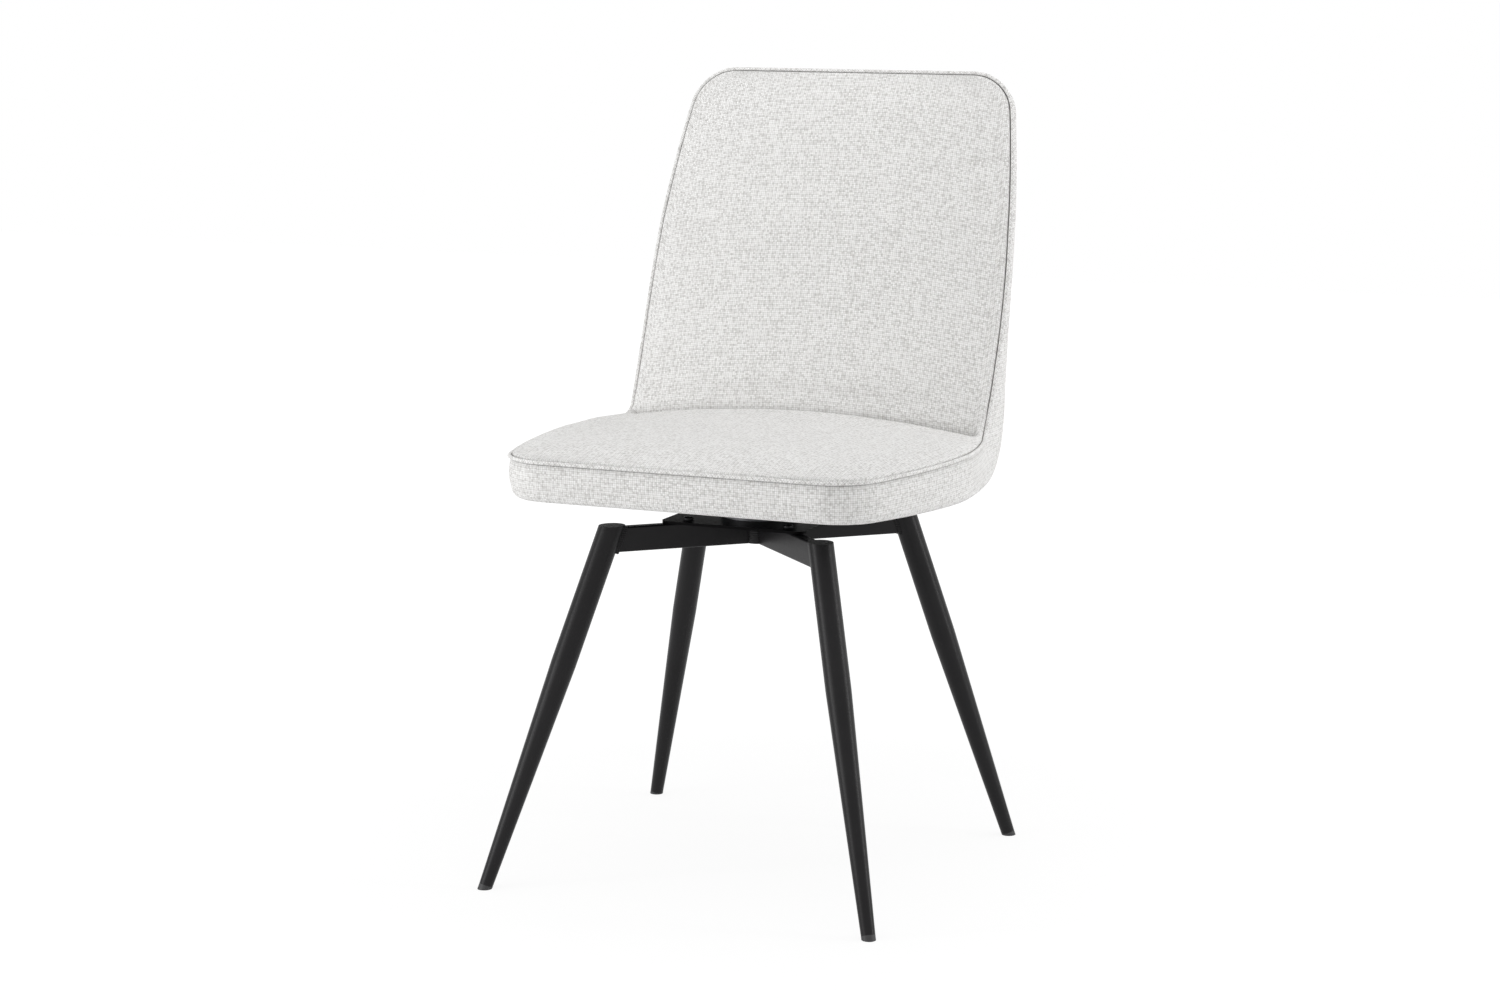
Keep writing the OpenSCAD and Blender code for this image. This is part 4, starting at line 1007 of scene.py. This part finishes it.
def lining_point(x, run, half, first, last):
    """A point of the lining, its distance from the edge and from the plate."""
    y = station(run)["rear"].y
    to_side, to_end = half - abs(x), min(run - first, last - run)
    from_edge = max(0.0, min(to_side, to_end))
    to_plate = math.hypot(max(0.0, abs(x) - PLATE_X), max(0.0, abs(y) - PLATE_Y))
    free = smooth(0.012, 0.050, from_edge) * smooth(0.0, 0.040, to_plate)
    along = run if to_side < to_end else x
    pull = 0.0005 * math.exp(-from_edge / 0.022) * abs(math.sin(math.pi * along / STAPLE_PITCH))
    pull *= smooth(0.006, 0.014, from_edge) * smooth(0.0, 0.02, to_plate)
    z = lining_height(y, from_edge) - 0.0010 * free - pull
    return place(x, Vector((0, y, z))), from_edge, to_plate


def seat_lining(runs):
    """The sheet, with the size and the area of its cut."""
    first, last, n = runs[0], runs[-1], 56
    verts, held = [], []
    for run in runs:
        half = half_width(station(run), LINING_IN)
        inner = half - LINING_EDGE[-1]
        left = [-half + e for e in LINING_EDGE]
        xs = left + spread(-inner, inner, n)[:-1] + [-x for x in reversed(left)]
        for x in xs:
            p, from_edge, to_plate = lining_point(x, run, half, first, last)
            verts.append(p)
            held.append(from_edge < 0.012 or to_plate == 0.0)
    cols = len(xs)
    faces = []
    for i in range(len(runs) - 1):
        for a in range(i * cols, (i + 1) * cols - 1):
            face = (a, a + cols, a + cols + 1, a + 1)
            mid = sum((verts[v] for v in face), Vector()) / 4
            if all(max(abs(mid.x - x), abs(mid.y - AXIS_Y - y)) > BOLT_HOLE for x, y in BOLTS):
                faces.append(face)
    piece = new_piece("dust_lining", verts, faces, [(p.x, p.y) for p in verts], lining)
    bm = bmesh.new()
    bm.from_mesh(piece.data)
    kept = [v.index for v in bm.verts if v.link_faces]
    bmesh.ops.delete(bm, geom=[v for v in bm.verts if not v.link_faces], context="VERTS")
    bm.to_mesh(piece.data)
    bm.free()
    area = sum(p.area for p in piece.data.polygons)
    pins = {i: 1.0 for i, k in enumerate(kept) if held[k]}
    hung = settled(piece, pins, frames=16, mass=0.07, stretch=30, shear=12, bend=0.6)
    for v, b in zip(piece.data.vertices, hung):
        step = b - v.co
        if step.length > MOST_SAG:
            step *= MOST_SAG / step.length
        v.co += step
    round_off(piece)
    both_sides = piece.modifiers.new("cloth_thickness", "SOLIDIFY")
    both_sides.thickness, both_sides.offset = LINING_T, 0
    apply_modifiers(piece)
    width = 2 * max(half_width(station(r), LINING_IN) for r in runs)
    return piece, width, station(last)["rear"].y - station(first)["rear"].y, area


# ------------------------------------------------ rigid pieces, modelled in edit mode
NEAR = 1e-5


def choose_faces(mesh, wanted):
    """In edit mode: pick the faces whose middle and direction are wanted."""
    bpy.ops.mesh.select_all(action="DESELECT")
    bpy.ops.object.mode_set(mode="OBJECT")
    for p in mesh.polygons:
        p.select = wanted(p.center, p.normal)
    bpy.ops.object.mode_set(mode="EDIT")


def choose_edges(mesh, wanted):
    """The same for edges, by their two ends."""
    bpy.ops.mesh.select_all(action="DESELECT")
    bpy.ops.object.mode_set(mode="OBJECT")
    for e in mesh.edges:
        e.select = wanted(*(mesh.vertices[i].co for i in e.vertices))
    bpy.ops.object.mode_set(mode="EDIT")


def begin_block(size, middle=(0, 0, 0)):
    bpy.ops.object.select_all(action="DESELECT")
    bpy.ops.mesh.primitive_cube_add(size=1, location=(0, 0, 0), enter_editmode=True)
    bpy.ops.mesh.select_mode(type="FACE")
    bpy.ops.transform.resize(value=size)
    bpy.ops.transform.translate(value=middle)
    return bpy.context.view_layer.objects.active


def end_block(piece, name, material):
    bpy.ops.mesh.select_all(action="SELECT")
    bpy.ops.mesh.normals_make_consistent(inside=False)
    bpy.ops.object.mode_set(mode="OBJECT")
    piece.name = piece.data.name = name
    piece.data.materials.append(material)
    return piece


def copy_to(first, name, turn, where):
    """Another one of a piece, with a mesh of its own that is turned about Z and moved."""
    mesh = first.data.copy()
    mesh.name = name
    mesh.transform(Matrix.Translation(Vector(where)) @ Matrix.Rotation(turn, 4, "Z"))
    piece = bpy.data.objects.new(name, mesh)
    bpy.context.scene.collection.objects.link(piece)
    return piece


CROWN, WIRE_W, WIRE_T, STAPLE_LEG = 0.0100, 0.0009, 0.0006, 0.0050
SIDE_STAPLES, SIDE_FROM, SIDE_TO = 7, 0.018, 0.012      # on each side, from the ends of the lining
FRONT_STAPLES, FRONT_SIDE = 9, 0.016                    # the outermost, from the lining's side
REAR_STAPLES, REAR_SIDE = 10, 0.014


def staples_round(runs):
    """A staple with its crown on the cloth and its legs in the board, and copies all round."""
    first = begin_block((CROWN, WIRE_W, WIRE_T))
    for side in (-1, 1):
        bpy.ops.mesh.select_all(action="SELECT")
        bpy.ops.mesh.bisect(plane_co=(side * (CROWN / 2 - WIRE_W), 0, 0), plane_no=(1, 0, 0))
    choose_faces(first.data, lambda c, n: n.z > 0.9 and abs(c.x) > CROWN / 2 - WIRE_W)
    bpy.ops.mesh.extrude_region_move(TRANSFORM_OT_translate={"value": (0, 0, STAPLE_LEG)})
    bpy.ops.mesh.select_mode(type="EDGE")
    choose_edges(first.data, lambda a, b: min(abs(a.x), abs(b.x)) > CROWN / 2 - NEAR
                 and abs(a.z - b.z) < NEAR and a.z < 0)
    bpy.ops.mesh.bevel(offset=0.0004, segments=3, affect="EDGES")
    end_block(first, "staple_pattern", zinc)
    spots = []
    start, end = runs[0], runs[-1]
    first_run = start + SIDE_FROM
    for run in [first_run] + spread(first_run, end - SIDE_TO, SIDE_STAPLES - 1):
        half = half_width(station(run), LINING_IN) - STAPLE_IN
        wider = half_width(station(run + 0.004)) - half_width(station(run - 0.004))
        lean = math.atan2(wider, 0.008)
        spots += [(half, run, math.pi / 2 - lean), (-half, run, math.pi / 2 + lean)]
    for run, count, reach in ((start + STAPLE_IN, FRONT_STAPLES, FRONT_SIDE),
                              (end - STAPLE_IN, REAR_STAPLES, REAR_SIDE)):
        half = half_width(station(run), LINING_IN) - reach
        spots += [(half * (2 * i / (count - 1) - 1), run, 0.0) for i in range(count)]
    pieces = []
    for i, (x, run, turn) in enumerate(spots):
        y = station(run)["rear"].y
        askew = 0.11 * wander((x, y, 0), 0.013, 41)
        z = lining_height(y, STAPLE_IN) - LINING_T / 2 - WIRE_T / 2 + 0.0001
        pieces.append(copy_to(first, "staple_%02d" % (i + 1), turn + askew, (x, y + AXIS_Y, z)))
    bpy.data.objects.remove(first)
    return pieces


LINING_ROWS = lining_rows()
dust_lining, lining_w, lining_l, lining_cut = seat_lining(LINING_ROWS)
staples = staples_round(LINING_ROWS)
for piece in staples:
    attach(piece, "seat")
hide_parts("dust_cover")
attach(dust_lining, "seat")

# ------------------------------------------------ welds of the cross frame
ARM_Z0, ARM_Z1, ARM_HALF, ARM_TURN = 0.368, 0.396, 0.0065, math.radians(43.83)
LEG_AT, LEG_LEAN = 0.1645, math.radians(21.2)      # where the leg's surface stands along an arm


WELD_SIZE, WELD_IN, BEAD_OVER = 0.0095, 0.0012, 0.0014   # fillet, cut into the arms, bead over the arm


def copies_round(first, ending, spots):
    """Copies of a pattern about the swivel's axis, from (name, degrees, x, y)."""
    pieces = [copy_to(first, name + ending, math.radians(turn), (x, y + AXIS_Y, 0))
              for name, turn, x, y in spots]
    bpy.data.objects.remove(first)
    return pieces


def corner_welds():
    """Fillets that run up the four corners between the crossing arms."""
    size, tall = WELD_SIZE, ARM_Z1 - ARM_Z0 - WELD_IN
    first = begin_block((size, size, tall), (size / 2, size / 2, (ARM_Z0 + ARM_Z1) / 2))
    bpy.ops.mesh.select_mode(type="EDGE")
    choose_edges(first.data, lambda a, b: min(a.x, a.y, b.x, b.y) > size - NEAR)
    bpy.ops.mesh.bevel(offset=size - WELD_IN, segments=6, profile=0.36, affect="EDGES")
    choose_edges(first.data, lambda a, b: abs(a.z - b.z) < NEAR / 10
                 and max(a.x, a.y) > NEAR and max(b.x, b.y) > NEAR)
    bpy.ops.mesh.bevel(offset=0.0005, segments=2, affect="EDGES")
    end_block(first, "corner_weld_pattern", bead_coat)
    ahead = ARM_HALF / math.cos(ARM_TURN) - 0.00045
    aside = ARM_HALF / math.sin(ARM_TURN) - 0.0003
    return copies_round(first, "_corner_weld", (("front", -135, 0, -ahead), ("right", -45, aside, 0),
                                                ("rear", 45, 0, ahead), ("left", 135, -aside, 0)))


def leg_welds():
    """A bead round each arm where it meets its leg."""
    middle = (LEG_AT + 0.0006, 0, (ARM_Z0 + ARM_Z1) / 2)
    tall = (ARM_Z1 - ARM_Z0) / math.cos(LEG_LEAN) + 0.0026
    first = begin_block((0.0062, 2 * (ARM_HALF + BEAD_OVER), tall), middle)
    bpy.ops.mesh.select_all(action="SELECT")
    bpy.ops.transform.rotate(value=LEG_LEAN, orient_axis="Y", center_override=middle)
    bpy.ops.mesh.bevel(offset=0.0013, segments=3, affect="EDGES")
    end_block(first, "leg_weld_pattern", bead_coat)
    turn = math.degrees(ARM_TURN)
    return copies_round(first, "_leg_weld", (("front_right", -turn, 0, 0), ("rear_right", turn, 0, 0),
                                             ("rear_left", 180 - turn, 0, 0),
                                             ("front_left", 180 + turn, 0, 0)))


for piece in corner_welds() + leg_welds():
    pick_only(piece)
    bpy.ops.object.shade_smooth_by_angle(angle=math.radians(40))
    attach(piece, "base")


# ------------------------------------------------ floor, world and lamps
FLOOR_GLOW, FLOOR_SHARE, FLOOR_REACH = 1.035, 0.86, 6.0
WORLD_LIGHT, WORLD_SEEN = 0.59, 0.41      # what lights the chair, and what is added where it is seen


def seen_straight(tree):
    """1 for what the camera sees, also in a reflection or through something, 0 for scattered light."""
    path = tree.nodes.new("ShaderNodeLightPath").outputs
    seen = maths(tree, "MAXIMUM", path["Is Camera Ray"], path["Is Glossy Ray"])
    return maths(tree, "MAXIMUM", seen, path["Is Transmission Ray"])


def either(tree, share, first, second):
    return wired(tree, tree.nodes.new("ShaderNodeMixShader"), {0: share, 1: first, 2: second}).outputs[0]


def white_floor():
    r = FLOOR_REACH
    floor = new_piece("floor", [(-r, -r, 0), (r, -r, 0), (r, r, 0), (-r, r, 0)], [(0, 1, 2, 3)])
    m, tree, shader = finish_material("white_floor", Roughness=0.9, Base_Color=(0.86, 0.86, 0.86, 1))
    away = vector_maths(tree, "LENGTH", own_place(tree)).outputs["Value"]
    far = maths(tree, "MAXIMUM", maths(tree, "SUBTRACT", away, 0.5), 0.0)
    far = maths(tree, "MULTIPLY", maths(tree, "MINIMUM", far, 1.5), 0.12)
    glow = tree.nodes.new("ShaderNodeEmission")
    wired(tree, glow, {"Color": (1, 1, 1, 1), "Strength": maths(tree, "ADD", far, FLOOR_GLOW)})
    share = maths(tree, "MULTIPLY", seen_straight(tree), FLOOR_SHARE)
    white = either(tree, share, shader.outputs[0], glow.outputs[0])
    # from below the floor lets the view through, so that the underside can be looked at
    below = tree.nodes.new("ShaderNodeNewGeometry").outputs["Backfacing"]
    clear = tree.nodes.new("ShaderNodeBsdfTransparent").outputs[0]
    tree.links.new(either(tree, below, white, clear), tree.nodes["Material Output"].inputs["Surface"])
    floor.data.materials.append(m)


def white_world():
    world = bpy.data.worlds.new("studio")
    bpy.context.scene.world = world
    world.use_nodes = True
    tree = world.node_tree
    added = maths(tree, "MULTIPLY", seen_straight(tree), WORLD_SEEN)
    wired(tree, tree.nodes["Background"], {"Color": (1, 1, 1, 1),
                                           "Strength": maths(tree, "ADD", added, WORLD_LIGHT)})


def softbox(name, where, aim_z, size, power):
    """A rectangular lamp that points at a height on the chair's middle."""
    lamp = bpy.data.lights.new(name, "AREA")
    lamp.shape, lamp.energy = "RECTANGLE", power
    lamp.size, lamp.size_y = size
    o = bpy.data.objects.new(name, lamp)
    bpy.context.scene.collection.objects.link(o)
    o.location = where
    o.rotation_euler = (Vector((0, 0, aim_z)) - Vector(where)).to_track_quat("-Z", "Y").to_euler()


white_floor()
white_world()
softbox("overhead_box", (0.0, -0.2, 2.3), 0.5, (1.8, 1.8), 14)
softbox("left_strip", (-1.76, -1.48, 0.70), 0.45, (0.28, 1.3), 9)
softbox("left_box", (-1.5, -1.9, 0.5), 0.45, (1.2, 0.8), 11)
softbox("right_strip", (2.15, 0.45, 0.70), 0.45, (0.30, 1.3), 12)
softbox("right_box", (1.8, 1.2, 1.5), 0.5, (1.2, 1.6), 7)
